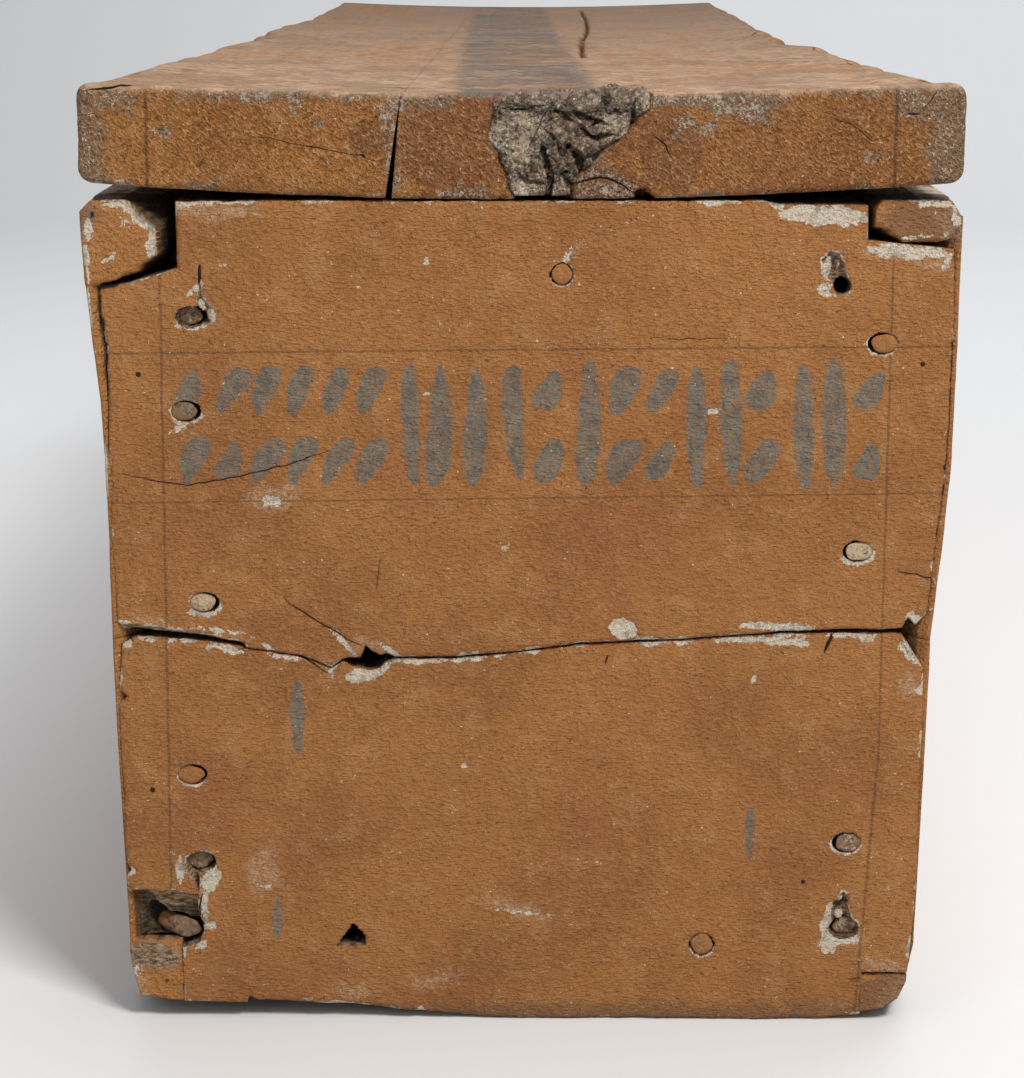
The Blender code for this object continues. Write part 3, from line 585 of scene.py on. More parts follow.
# The paint's state as ovals: chips down to the ground, faded places, and what still stands in a break
UPPER_CHIPS = (
    (-0.16, 0.4602, 0.023, 0.001, 0), (0.16, 0.4532, 0.025, 0.0048, -4), (-0.1345, 0.2985, 0.0045, 0.003, 20),
    (-0.0502, 0.3573, 0.004, 0.0009, 0), (0.1043, 0.3486, 0.0024, 0.0012, 0),
    (-0.1471, 0.41, 0.004, 0.001, 8), (-0.0075, 0.2721, 0.0024, 0.0012, 30),
    (0.0565, 0.2275, 0.0075, 0.0058, 0), (0.1415, 0.2288, 0.019, 0.002, -3),
    (0.206, 0.4342, 0.0215, 0.0036, -3), (0.226, 0.429, 0.0018, 0.005, -20), (-0.158, 0.427, 0.002, 0.001, 0),
    (0.2145, 0.233, 0.0042, 0.0042, 30), (-0.05, 0.43, 0.0012, 0.0018, 10), (0.025, 0.431, 0.004, 0.0008, 60),
    (-0.0965, 0.22, 0.011, 0.001, -50), (-0.103, 0.2268, 0.005, 0.0006, -38),
    (-0.07, 0.2146, 0.0085, 0.0013, -36), (-0.186, 0.338, 0.005, 0.0012, 20),
    (-0.1815, 0.3975, 0.002, 0.004, -25), (-0.177, 0.395, 0.005, 0.0011, -15),
    (-0.1715, 0.3938, 0.0034, 0.0014, 0), (-0.164, 0.3976, 0.0022, 0.001, 30),
    (-0.1765, 0.4115, 0.0045, 0.0007, 50), (-0.175, 0.2368, 0.008, 0.002, 0),
    (0.161, 0.415, 0.0026, 0.0035, -35), (0.165, 0.4108, 0.004, 0.001, -12),
    (-0.165, 0.2262, 0.013, 0.0009, -8), (-0.145, 0.2215, 0.006, 0.0005, -32),
)
UPPER_FADED = (
    (-0.162, 0.4555, 0.021, 0.0052, 0), (-0.1345, 0.2985, 0.008, 0.006, 20), (0.216, 0.428, 0.008, 0.002, 0),
    (-0.08, 0.217, 0.01, 0.003, -30), (-0.205, 0.231, 0.012, 0.0014, -4), (0.028, 0.435, 0.008, 0.002, 45),
    (-0.134, 0.302, 0.014, 0.006, 10), (0.206, 0.4342, 0.0215, 0.004, -3),
)
UPPER_BITS = (
    (0.1631, 0.4258, 0.0022, 0.006, -12), (0.168, 0.4256, 0.0008, 0.0034, -20),
    (-0.17, 0.4052, 0.002, 0.0034, 20), (-0.1655, 0.4005, 0.002, 0.003, 0),
)
LOWER_CHIPS = (
    (0.129, 0.2216, 0.032, 0.002, -4), (-0.215, 0.2185, 0.003, 0.0036, 0), (-0.195, 0.2212, 0.02, 0.001, -3),
    (-0.161, 0.216, 0.011, 0.0018, -10), (-0.129, 0.2115, 0.006, 0.001, -5),
    (-0.104, 0.2025, 0.003, 0.0014, -40), (-0.089, 0.2005, 0.008, 0.0042, 10),
    (-0.078, 0.203, 0.008, 0.0014, 35), (-0.05, 0.2094, 0.02, 0.0009, 0), (0.2145, 0.215, 0.004, 0.008, 42),
    (0.19, 0.222, 0.005, 0.0024, 0), (0.18, 0.2238, 0.018, 0.0008, 0), (0.22, 0.193, 0.0026, 0.0018, 20),
    (-0.19, 0.088, 0.0022, 0.01, 0), (-0.173, 0.083, 0.0045, 0.0075, -20), (-0.176, 0.098, 0.006, 0.001, 0),
    (-0.1766, 0.065, 0.0018, 0.011, 4), (-0.174, 0.056, 0.004, 0.0024, 10),
    (-0.179, 0.044, 0.005, 0.0016, 30), (0.1716, 0.06, 0.002, 0.011, -10),
    (0.1735, 0.0462, 0.005, 0.0058, 10), (0.183, 0.0472, 0.007, 0.0022, 8), (-0.12, 0.012, 0.0028, 0.0012, 0),
    (0.129, 0.2, 0.0036, 0.0009, 60), (0.07, 0.126, 0.0016, 0.0012, 0), (-0.03, 0.15, 0.0016, 0.0008, 0),
    (0.002, 0.064, 0.01, 0.0006, -8), (-0.1425, 0.079, 0.004, 0.0006, 0),
)
LOWER_FADED = (
    (-0.1435, 0.0875, 0.0085, 0.012, 0), (-0.143, 0.09, 0.007, 0.009, 0), (0.004, 0.064, 0.013, 0.0034, -14),
    (-0.015, 0.07, 0.01, 0.0022, 8), (0.186, 0.048, 0.006, 0.004, 0), (-0.048, 0.024, 0.014, 0.004, 10),
    (0.214, 0.196, 0.006, 0.006, 0), (0.205, 0.033, 0.01, 0.003, 0), (-0.094, 0.016, 0.01, 0.003, 0),
)
LOWER_BITS = ((0.1788, 0.0625, 0.0028, 0.0036, 0), (0.1792, 0.0722, 0.0016, 0.0024, -30))
# Cracks, each its half width and the points that it runs through
UPPER_CRACKS = (
    (0.0007, ((-0.216, 0.3135), (-0.2071, 0.3119), (-0.1927, 0.3086), (-0.1808, 0.307), (-0.1624, 0.3103),
              (-0.1304, 0.3174), (-0.1201, 0.3202), (-0.1033, 0.3262))),
    (0.0009, ((-0.129, 0.245), (-0.1254, 0.2408), (-0.1157, 0.2346), (-0.1016, 0.2256), (-0.0875, 0.218))),
    (0.0008, ((0.205, 0.2605), (0.212, 0.2588), (0.22, 0.257), (0.229, 0.256))),
    (0.0016, ((-0.1712, 0.416), (-0.1706, 0.423), (-0.17, 0.427))),
    (0.0004, ((0.07, 0.388), (0.095, 0.387), (0.11, 0.3875))),
    (0.0004, ((-0.076, 0.266), (-0.078, 0.258), (-0.0785, 0.25))),
)
LOWER_CRACKS = (
    (0.0009, ((-0.156, 0.215), (-0.1499, 0.2165), (-0.1221, 0.2125), (-0.1042, 0.2012))),
    (0.0004, ((0.185, 0.0245), (0.1907, 0.025), (0.205, 0.024), (0.22, 0.0237))),
    (0.001, ((-0.178, 0.0745), (-0.1795, 0.07), (-0.18, 0.06))),
    (0.001, ((0.048, 0.213), (0.0472, 0.21), (0.0465, 0.208))),
    (0.0018, ((0.1706, 0.2245), (0.169, 0.22), (0.1668, 0.2135))),
)
# Plain blue-grey dabs, a row on the upper plank and a few strays on the lower one: middle across and up,
# length, width, lean in degrees, taper. Each column of the row has one tall dab or two short ones, by chance.
BAND_MIDDLE = 0.3405
BAND_LEFT_END = -0.176
COLUMN_STEP = 0.0192
COLUMNS = 20
TALL_CHANCE = 0.45
SHORT_RISES = (0.019, -0.0195)


def row_of_dabs():
    """Dabs in columns; each size, lean and place is a fixed random share of its own range."""
    marks = []
    for k in range(COLUMNS):
        a, b, c, d, e, f = dice(np.full(6, k), np.arange(6), np.zeros(6), 17)
        x = BAND_LEFT_END + COLUMN_STEP * k + 0.004 * (a - 0.5)
        if b < TALL_CHANCE:
            z, length, width = BAND_MIDDLE + 0.003 * (c - 0.5), 0.062 + 0.01 * d, 0.0095 + 0.005 * e
            marks.append((x, z, length, width, 86 + 9 * f, f - 0.5))
        else:
            for rise, size, lean in zip(SHORT_RISES, (c, e), (e, f)):
                length, width = 0.022 + 0.008 * size, 0.01 + 0.005 * d
                marks.append((x, BAND_MIDDLE + rise, length, width, 55 + 16 * lean, size - 0.5))
    return marks


STRAY_DABS = (
    (-0.123, 0.176, 0.042, 0.008, 90, 0.2), (-0.136, 0.06, 0.027, 0.0062, 88, -0.2),
    (0.1274, 0.11, 0.03, 0.0056, 90, 0.1),
)


# Width of a break's steep lip
LIP = 0.0009


def along(end, depth):
    """Y of a place so far in from an end's plane; end is -1 for the near one and 1 for the far one."""
    return (near_y if end < 0 else far_y) - end * depth


def ring_back(end, depth):
    """A ring of an end plank's border, that far behind its face and no wider than the mitres leave it."""
    def ring(border):
        x, y, z = border.T
        slack = MITRE_TIP + MITRE_PLAY + depth
        x = np.clip(x, slack - face_out(-1, z), face_out(1, z) - slack)
        return np.stack([x, np.full(len(x), along(end, depth)), z], -1)
    return ring


def slope_in(distance, edge_depth, full_depth, reach):
    """Depth inside a break: a steep lip, then a slope down to its floor."""
    slope = full_depth - edge_depth
    return edge_depth * ramp(distance, LIP) + slope * ramp(distance - LIP, reach)


def near_relief(x, z, edge, chips):
    """Depth of the painted face: a slow warp, brushed ground, nibbled arrises and shallow chips."""
    warp = 0.001 + 0.0008 * clouds(x, 0.0, z, 0.12, 2, 31)
    ground = 0.00016 * (1 + clouds(x * 0.6, 0.0, z, 0.005, 2, 32))
    radius = np.maximum(0.0026 + 0.0018 * clouds(x, 0.0, z, 0.022, 2, 33), 0.0008)
    radius = np.where((z < 0.05) & (np.abs(x) > 0.186), 0.0004, radius)
    nibble = 0.0035 * clouds(x, 0.0, z, 0.008, 3, 34) - edge
    chipped = np.maximum(patch(x, z, chips) + ragged(x, z, 0.0012, 35), nibble)
    return warp + ground + rounded(edge, radius) + 0.0007 * ramp(chipped, 0.0008)


# Width of the gap along the plank's sides, by height, which is painted in as a dark strip of shade
SIDE_GAPS = {
    -1: ((0.0, 0.0), (0.325, 0.0), (0.36, 0.0012), (0.405, 0.0016), (0.414, 0.0008), (0.42, 0.0)),
    1: ((0.0, 0.0), (0.225, 0.0), (0.26, 0.0008), (0.3, 0.0014), (0.385, 0.0016), (0.4, 0.0004), (0.43, 0.0)),
}
# The open hole by the floor has no broken rim: its middle, and how far from it the rims stop
HOLE_MIDDLE = -0.0945
HOLE_REACH = 0.012
HOLE_TOP = 0.062
PEG_HOLE_DEPTH = 0.014
BACK_RINGS = (0.008, 0.02, WALL)


def rims_of_ground(x, z, pegs, amounts, breaks):
    """How far inside the pale rims a place lies: uneven bands round the peg holes and the breaks."""
    rim = np.full(len(x), OUTSIDE)
    for peg, amount in zip(pegs, amounts):
        below = np.clip((peg[1] - z) / peg[2], -1, 1)
        width = amount * (0.0004 + 0.0011 * below + 0.0009 * clouds(x, 0.0, z, 0.005, 2, 61))
        rim = np.maximum(rim, width - np.abs(peg_holes(x, z, [peg], PEG_PLAY)))
    rim = np.maximum(rim, 0.0002 + 0.0014 * clouds(x, 0.0, z, 0.006, 2, 62) - np.abs(breaks(x, z)))
    return np.where((np.abs(x - HOLE_MIDDLE) < HOLE_REACH) & (z < HOLE_TOP), OUTSIDE, rim)


def end_plank(name, end, sheet, dropped_band, outline, breaks, floors, chips, faded, bits, cracks, marks,
              pegs, rims):
    """One plank of an end, its face a grid over its worn outline, its edges carried back along the mitres."""
    def holes(across, up):
        """Distance inside the plank's breaks and peg holes."""
        return np.maximum(breaks(across, up), peg_holes(across, up, pegs, PEG_PLAY))

    x, z, cell_strip, cell_band = end_sheet(*sheet)
    x, z = settle(x, z, holes, 0.0005)
    standing = patch(x, z, bits) + ragged(x, z, 0.0005, 36)
    depth = near_relief(x, z, within(x, z, outline), chips)
    depth = depth + floors(x, z) * (1 - 0.75 * ramp(standing / 0.0006 + 0.5))
    depth = np.maximum(depth, PEG_HOLE_DEPTH * ramp(peg_holes(x, z, pegs, PEG_PLAY), 0.0007))
    side, half = crack_lines(x, z, cracks)
    depth = depth + 0.0012 * ramp(1 - np.abs(side) / 0.0009) * (half > 0)
    keep = ~((cell_band == dropped_band) & (cell_strip != 1))
    points = np.stack([x, along(end, np.maximum(depth, 0)), np.maximum(z, 0)], -1).reshape(-1, 3)
    middle = (0.0, along(end, WALL), float(z.mean()))
    rings = [ring_back(end, behind) for behind in BACK_RINGS]
    points, faces = backed_sheet(points, sheet_faces(*x.shape, keep), rings, middle)

    x, y, z = points.T
    edge = within(x, z, outline)
    hole = holes(x, z)
    depth = np.abs(y - along(end, 0.0))
    front = depth < FACE_DEPTH
    nibble = 0.0026 * clouds(x, 0.0, z, 0.008, 3, 34) - edge
    standing = patch(x, z, bits) + ragged(x, z, 0.0005, 36)
    chipped = np.maximum(patch(x, z, chips) + ragged(x, z, 0.0012, 35), nibble)
    gesso = np.max([rims_of_ground(x, z, pegs, rims, breaks), chipped, standing], axis=0)
    # Painted shade: side gaps, open holes, deep hole floors and faces behind the front are coloured dark.
    gap = line(SIDE_GAPS[-1], z) * (x < -0.2) + line(SIDE_GAPS[1], z) * (x > 0.2)
    gap_shade = ramp(gap * (1 + 0.6 * clouds(x, 0.0, z, 0.006, 2, 64)) - edge, 0.0003) * (end < 0)
    hole_shade = ramp(open_holes(x, z) / 0.0006 + 0.8) * (end < 0)
    deep = ramp(depth - 0.01, 0.012) * (hole > -0.001) + 0.6 * ~front
    side, half = crack_lines(x, z, cracks)
    return make_piece(name, points, faces, {
        "stroke": np.where(front, dabs(x, z, marks) + 0.0008 * clouds(x, 0.0, z, 0.006, 3, 63), OUTSIDE),
        "gesso": np.where(front, gesso, OUTSIDE),
        "faded": np.where(front, patch(x, z, faded), OUTSIDE),
        # Darker towards the foot of the face
        "grime": np.where(front, 0.009 - z, OUTSIDE),
        "bare": np.where(front, np.minimum(np.minimum(hole - 0.0004, 0.02), -standing), 0.01),
        "dirt": np.max([deep, gap_shade, hole_shade], axis=0),
        "crack": side,
        "crack_width": half,
    })


def upper_floors(x, z):
    """Depth of the upper plank's breaks and of the hole that has lost its peg."""
    top_peg, empty, lip = [broken_in(x, z, (outline,), 51) for outline in UPPER_BREAKS]
    rough = 1 + 0.5 * clouds(x * 2, 0.0, z * 0.7, 0.004, 2, 54)
    round_peg = ramp(patch(x, z, ((-0.1745, 0.3992, 0.0085, 0.0055, -12),)), 0.0015)
    depth = slope_in(top_peg, 0.0014, 0.003, 0.003) * (1 + 2.5 * round_peg)
    depth = depth + slope_in(empty, 0.002, 0.0045, 0.004)
    depth = depth + slope_in(lip, 0.001, 0.0026, 0.004)
    return depth * rough + 0.032 * ramp(peg_holes(x, z, [EMPTY_HOLE], 0.0), 0.0012)


def lower_floors(x, z):
    """Depth of the lower plank's breaks: the sloping roof over the corner, and the hole by the floor."""
    left_peg, foot_peg, corner = [broken_in(x, z, (outline,), 52) for outline in LOWER_BREAKS]
    rough = 1 + 0.4 * clouds(x, 0.0, z, 0.005, 2, 55)
    roof = 0.004 + 0.0035 * ramp(0.077 - z, 0.018)
    roof = roof + 0.0035 * ramp((-0.2 - x) / 0.006 - ramp(z - 0.062, 0.014))
    roof = roof + 0.018 * ramp(patch(x, z, ((-0.1925, 0.0515, 0.015, 0.0085, -22),)), 0.003)
    roof = roof + 0.01 * ramp(patch(x, z, ((-0.203, 0.0585, 0.006, 0.01, 28),)), 0.003)
    roof = roof * ramp(corner, 0.0015) * (1 + 0.2 * clouds(x * 0.3, 0.0, z, 0.003, 2, 56))
    depth = slope_in(left_peg, 0.003, 0.008, 0.004) + slope_in(foot_peg, 0.0025, 0.0065, 0.004)
    return np.maximum(depth * rough, roof) + 0.034 * ramp(floor_hole(x, z) / 0.0004 + 0.3)


def near_plank(peg_names, name, sheet, *state):
    """A plank of the near end, with the pegs of those names and the rims of ground that are theirs."""
    pegs = [near_pegs["near_end_peg_" + n] for n in peg_names]
    rims = [PEG_STATES[n][0] for n in peg_names]
    return end_plank(name, -1, sheet, *state, pegs, rims)


# Grid of a face: across, corner strips beside a middle one, and up, two bands; each a length and its steps
CORNER_RUN = (0.042, 42)
MIDDLE_RUNS = ((0.03, 34), (0.307, 212), (0.03, 34))
COLUMN_RUNS = ((CORNER_RUN,), MIDDLE_RUNS, (CORNER_RUN,))
UPPER_RUNS = (((0.2, 186),), ((0.036, 36),))
LOWER_RUNS = (((0.04, 38),), ((0.175, 162),))
EDGE_WOBBLE = 0.0004
upper_sheet = (UPPER_LEFT, UPPER_RIGHT, seam_roof(), LEDGE, TOP_RIM, (NOTCH_LEFT, NOTCH_RIGHT), COLUMN_RUNS,
               UPPER_RUNS, EDGE_WOBBLE)
upper_outline = list(seam_roof()) + flipped(UPPER_RIGHT) + [(0.184, 0.44)] + list(reversed(TOP_RIM))
upper_outline += [(-0.183, 0.425), (-0.19, 0.4225), (-0.206, 0.418)] + flipped(reversed(UPPER_LEFT))
upper_plank = near_plank(UPPER_PEG_NAMES, "near_end_top_board", upper_sheet, 1, upper_outline, upper_breaks,
                         upper_floors, UPPER_CHIPS, UPPER_FADED, UPPER_BITS, UPPER_CRACKS, row_of_dabs())
lower_sheet = (LOWER_LEFT, LOWER_RIGHT, FOOT_LINE, FOOT_LEDGE, SEAM_LINE, (FOOT_NOTCH_LEFT, FOOT_NOTCH_RIGHT),
               COLUMN_RUNS, LOWER_RUNS, EDGE_WOBBLE)
lower_outline = [(-0.19, 0.0475)] + list(FOOT_LINE)
lower_outline += [(0.192, 0.0285), (float(line(LOWER_RIGHT, 0.0285)), 0.0285)]
lower_outline += [(x, z) for z, x in LOWER_RIGHT if z > 0.0285] + list(reversed(SEAM_LINE))
lower_outline += [(x, z) for z, x in reversed(LOWER_LEFT) if z > 0.0475]
lower_outline += [(float(line(LOWER_LEFT, 0.0475)), 0.0475)]
lower_plank = near_plank(LOWER_PEG_NAMES, "near_end_foot_board", lower_sheet, 0, lower_outline, lower_breaks,
                         lower_floors, LOWER_CHIPS, LOWER_FADED, LOWER_BITS, LOWER_CRACKS, STRAY_DABS)


def srgb(red, green, blue):
    """A paint chart's colour, 0 to 255, turned into light: ((c + 0.055) / 1.055) to the power 2.4."""
    return tuple(((c / 255 + 0.055) / 1.055) ** 2.4 for c in (red, green, blue)) + (1.0,)


def fill(tree, socket, value):
    """A node's socket linked to another, or given its value."""
    if isinstance(value, bpy.types.NodeSocket):
        tree.links.new(value, socket)
    else:
        socket.default_value = value


def put(tree, kind, sockets, **settings):
    """A shader node with its settings, each of its sockets linked or given its value."""
    node = tree.nodes.new("ShaderNode" + kind)
    for name, value in settings.items():
        setattr(node, name, value)
    for socket, value in sockets.items():
        fill(tree, node.inputs[socket], value)
    return node


def calc(tree, operation, a, b=0.0, c=0.0):
    """A value worked out from others."""
    return put(tree, "Math", {0: a, 1: b, 2: c}, operation=operation).outputs[0]


def scaled(tree, value, by, plus=0.0):
    """A value times another, plus a third."""
    return calc(tree, "MULTIPLY_ADD", value, by, plus)


def between(tree, value, low, high):
    """A share, 0 to 1, of the way from a low value to a high one, eased at both ends."""
    sockets = {"Value": value, "From Min": low, "From Max": high}
    return put(tree, "MapRange", sockets, interpolation_type="SMOOTHSTEP").outputs["Result"]


def blend(tree, share, under, over):
    """A colour laid over another by a share."""
    node = put(tree, "Mix", {}, data_type="RGBA")
    for number, value in ((0, share), (6, under), (7, over)):
        fill(tree, node.inputs[number], value)
    return node.outputs[2]


def coats(tree, colour, *layers):
    """A colour with layers over it in turn, each a share, how strongly it covers, and its colour."""
    for share, strength, over in layers:
        colour = blend(tree, scaled(tree, share, strength), colour, over)
    return colour


def mottle(tree, place, scale, detail=3.0, rough=0.55):
    """Cloudy noise, 0 to 1, with so many spots to the metre, or so many along each of three axes."""
    if isinstance(scale, tuple):
        place, scale = stretched(tree, place, scale), 1.0
    sockets = {"Vector": place, "Scale": scale, "Detail": detail, "Roughness": rough}
    return put(tree, "TexNoise", sockets).outputs[0]


def stretched(tree, place, scale):
    """A place with each axis scaled by itself."""
    return put(tree, "Mapping", {"Vector": place, "Scale": scale}).outputs[0]


def axis(tree, value, name):
    """One number of a place or a colour: X, Y or Z."""
    return put(tree, "SeparateXYZ", {0: value}).outputs[name]


def new_group(name, inputs, outputs):
    """An empty node group with named sockets: its tree, and its input and output sockets inside."""
    group = bpy.data.node_groups.new(name, "ShaderNodeTree")
    kinds = {"value": "NodeSocketFloat", "place": "NodeSocketVector", "colour": "NodeSocketColor"}
    for socket, kind in inputs:
        group.interface.new_socket(name=socket, in_out="INPUT", socket_type=kinds[kind])
    for socket, kind in outputs:
        group.interface.new_socket(name=socket, in_out="OUTPUT", socket_type=kinds[kind])
    return group, group.nodes.new("NodeGroupInput").outputs, group.nodes.new("NodeGroupOutput").inputs


def use(tree, group, sockets):
    """A node group placed in a tree; its output sockets."""
    return put(tree, "Group", sockets, node_tree=group).outputs


def material(name):
    """An empty material with its shader: the material's tree, the shader and the object's own coordinates."""
    finish = bpy.data.materials.new(name)
    finish.use_nodes = True
    tree = finish.node_tree
    shader = tree.nodes["Principled BSDF"]
    place = tree.nodes.new("ShaderNodeTexCoord").outputs["Object"]
    return finish, tree, shader, place


def mask(tree, name):
    """A mask that the mesh carries at its points."""
    return put(tree, "Attribute", {}, attribute_name=name).outputs["Fac"]


# Cracks are coloured with this share as painted shade.
def crack_shade_share(tree, low, high):
    """The share inside a crack: its half width less the distance from its line, cut between two values."""
    inside = calc(tree, "SUBTRACT", mask(tree, "crack_width"), calc(tree, "ABSOLUTE", mask(tree, "crack")))
    return between(tree, inside, low, high)


def finish_off(tree, shader, colour, height, relief, rough, shine=0.5, strength=1.0):
    """A shader given its colour, its bump, so deep at a height of 1, and its roughness and shine."""
    tree.links.new(colour, shader.inputs["Base Color"])
    bump = put(tree, "Bump", {"Strength": strength, "Distance": relief, "Height": height})
    tree.links.new(bump.outputs[0], shader.inputs["Normal"])
    shader.inputs["Roughness"].default_value = rough
    shader.inputs["Specular IOR Level"].default_value = shine


# Edge of a patch: its distance roughened by noise, then cut over a soft width
patch_edge, given, made = new_group(
    "patch edge",
    [("Noise", "value"), ("Distance", "value"), ("Ragged", "value"), ("Soft", "value")],
    [("Share", "value")])
tree = patch_edge
shifted = scaled(tree, calc(tree, "SUBTRACT", given["Noise"], 0.5), given["Ragged"], given["Distance"])
share = between(tree, shifted, scaled(tree, given["Soft"], -1.0), given["Soft"])
tree.links.new(share, made["Share"])

# A ruled ink line: the distance from a straight line on the end, shifted and broken by two noises
ruled_line, given, made = new_group(
    "ruled line",
    [("Place", "place"), ("Waver", "value"), ("Breaks", "value"), ("Across", "value"), ("Up", "value"),
     ("Offset", "value"), ("Width", "value"), ("Low", "value"), ("High", "value")],
    [("Share", "value")])
tree = ruled_line
across, up = axis(tree, given["Place"], "X"), axis(tree, given["Place"], "Z")
reach = scaled(tree, across, given["Across"], scaled(tree, up, given["Up"]))
waver = scaled(tree, given["Waver"], 0.0016, -0.0008)
away = calc(tree, "ABSOLUTE", calc(tree, "SUBTRACT", calc(tree, "ADD", reach, waver), given["Offset"]))
ink = calc(tree, "SUBTRACT", 1.0, between(tree, away, scaled(tree, given["Width"], 0.3), given["Width"]))
broken_ink = between(tree, given["Breaks"], 0.3, 0.48)
above, below = calc(tree, "GREATER_THAN", up, given["Low"]), calc(tree, "LESS_THAN", up, given["High"])
limits = scaled(tree, above, below)
tree.links.new(scaled(tree, limits, scaled(tree, ink, broken_ink)), made["Share"])

# Brushed ground: the hammered skin of a thick ground over coarse wood. Along carries the grain's own stretch.
brushed_ground, given, made = new_group(
    "brushed ground",
    [("Place", "place"), ("Along", "place")],
    [("Height", "value"), ("Hollows", "value"), ("Crests", "value"), ("Pits", "value"), ("Specks", "value"),
     ("Swell", "value"), ("Streaks", "value")])
tree = brushed_ground
hammered = mottle(tree, given["Place"], 520.0, 2.0, 0.6)
swell = mottle(tree, given["Place"], 60.0, 3.0, 0.6)
streaks = mottle(tree, given["Along"], 1.0, 2.0, 0.6)
pit = between(tree, hammered, 0.3, 0.22)
speck = between(tree, mottle(tree, given["Place"], 560.0, 1.0, 0.5), 0.72, 0.78)
speck = scaled(tree, speck, between(tree, swell, 0.46, 0.56))
skin = scaled(tree, streaks, 0.5, scaled(tree, hammered, 0.5))
height = scaled(tree, pit, -0.25, scaled(tree, swell, 0.8, skin))
# Hollows, crests and pits are shares that the paints colour as painted shade and painted highlight.
hollows, crests = between(tree, skin, 0.5, 0.36), between(tree, skin, 0.5, 0.66)
for name, value in (("Height", height), ("Hollows", hollows), ("Crests", crests), ("Pits", pit),
                    ("Specks", speck), ("Swell", swell), ("Streaks", streaks)):
    tree.links.new(value, made[name])

# Broken ground: flecks of white among stained plaster and grit
broken_ground, given, made = new_group(
    "broken ground", [("Flecks", "value"), ("Stains", "value")], [("Colour", "colour")])
tree = broken_ground
GROUND_WHITE = srgb(234, 219, 197)
GROUND_TAN = srgb(204, 176, 146)
GROUND_GREY = srgb(156, 141, 125)
flecked = blend(tree, between(tree, given["Flecks"], 0.34, 0.5), GROUND_TAN, GROUND_WHITE)
flecked = coats(tree, flecked, (between(tree, given["Stains"], 0.5, 0.66), 0.75, GROUND_GREY))
tree.links.new(flecked, made["Colour"])


def worn_patch(tree, noise, name, uneven, soft):
    """The share inside the patch of a mask, its edge roughened by noise and cut over a soft width."""
    sockets = {"Noise": noise, "Distance": mask(tree, name), "Ragged": uneven, "Soft": soft}
    return use(tree, patch_edge, sockets)["Share"]


def ruled(tree, place, swell, fine, ruling):
    """The share inside a ruled line: across, up, offset that way, width, lowest and highest place."""
    names = ("Across", "Up", "Offset", "Width", "Low", "High")
    sockets = {"Place": place, "Waver": swell, "Breaks": fine, **dict(zip(names, ruling))}
    return use(tree, ruled_line, sockets)["Share"]


OCHRE = srgb(172, 115, 62)
DEEP_OCHRE = srgb(157, 102, 54)
PALE_OCHRE_AND_HIGHLIGHT = srgb(190, 138, 88)
RED_OCHRE = srgb(152, 90, 54)
SHADE_OCHRE = srgb(116, 72, 38)
BLUE_GREY = srgb(122, 119, 107)
DEEP_BLUE_GREY = srgb(98, 98, 91)
BARE_WOOD = srgb(166, 138, 108)
DARK_WOOD_AND_SHADE = srgb(92, 69, 50)
INK = srgb(74, 54, 40)
DARKENING_BROWN = srgb(96, 78, 62)
# Near black, the painted shade of cracks, holes, gaps and hidden faces
SHADE_BLACK = srgb(38, 28, 20)
# Ruled lines of the near end: across, up, offset along that direction, width, lowest and highest place
RULED_LINES = (
    (1.0, -0.0095, -0.196, 0.0011, 0.0, 1.0), (1.0, 0.0, 0.1978, 0.001, 0.155, 1.0),
    (1.0, -0.06, 0.1884, 0.0012, 0.0, 0.155), (-0.0097, 1.0, 0.3815, 0.0009, 0.0, 1.0),
    (-0.0137, 1.0, 0.3005, 0.0007, 0.0, 1.0),
)
# Small bored holes in the near end, painted dark as shade and not cut: across, up, radius
BORED = ((-0.205, 0.368, 0.0014), (0.215, 0.374, 0.0013), (-0.204, 0.135, 0.0015), (0.158, 0.082, 0.0012))


def ochre(tree, place, ground):
    """Ochre paint over brushed ground: clouds of tone, painted highlights on the crests, and painted shade in
    the hollows and pits.
    """
    deep = between(tree, mottle(tree, place, 11.0, 3.0, 0.6), 0.4, 0.64)
    red = between(tree, mottle(tree, place, 6.0, 3.0, 0.7), 0.5, 0.66)
    return coats(
        tree, blend(tree, deep, OCHRE, DEEP_OCHRE),
        (between(tree, ground["Swell"], 0.5, 0.66), 0.35, PALE_OCHRE_AND_HIGHLIGHT),
        (red, 0.4, RED_OCHRE),
        (ground["Crests"], 0.4, PALE_OCHRE_AND_HIGHLIGHT),
        (ground["Hollows"], 0.2, SHADE_OCHRE),
        (ground["Pits"], 0.6, DARK_WOOD_AND_SHADE))


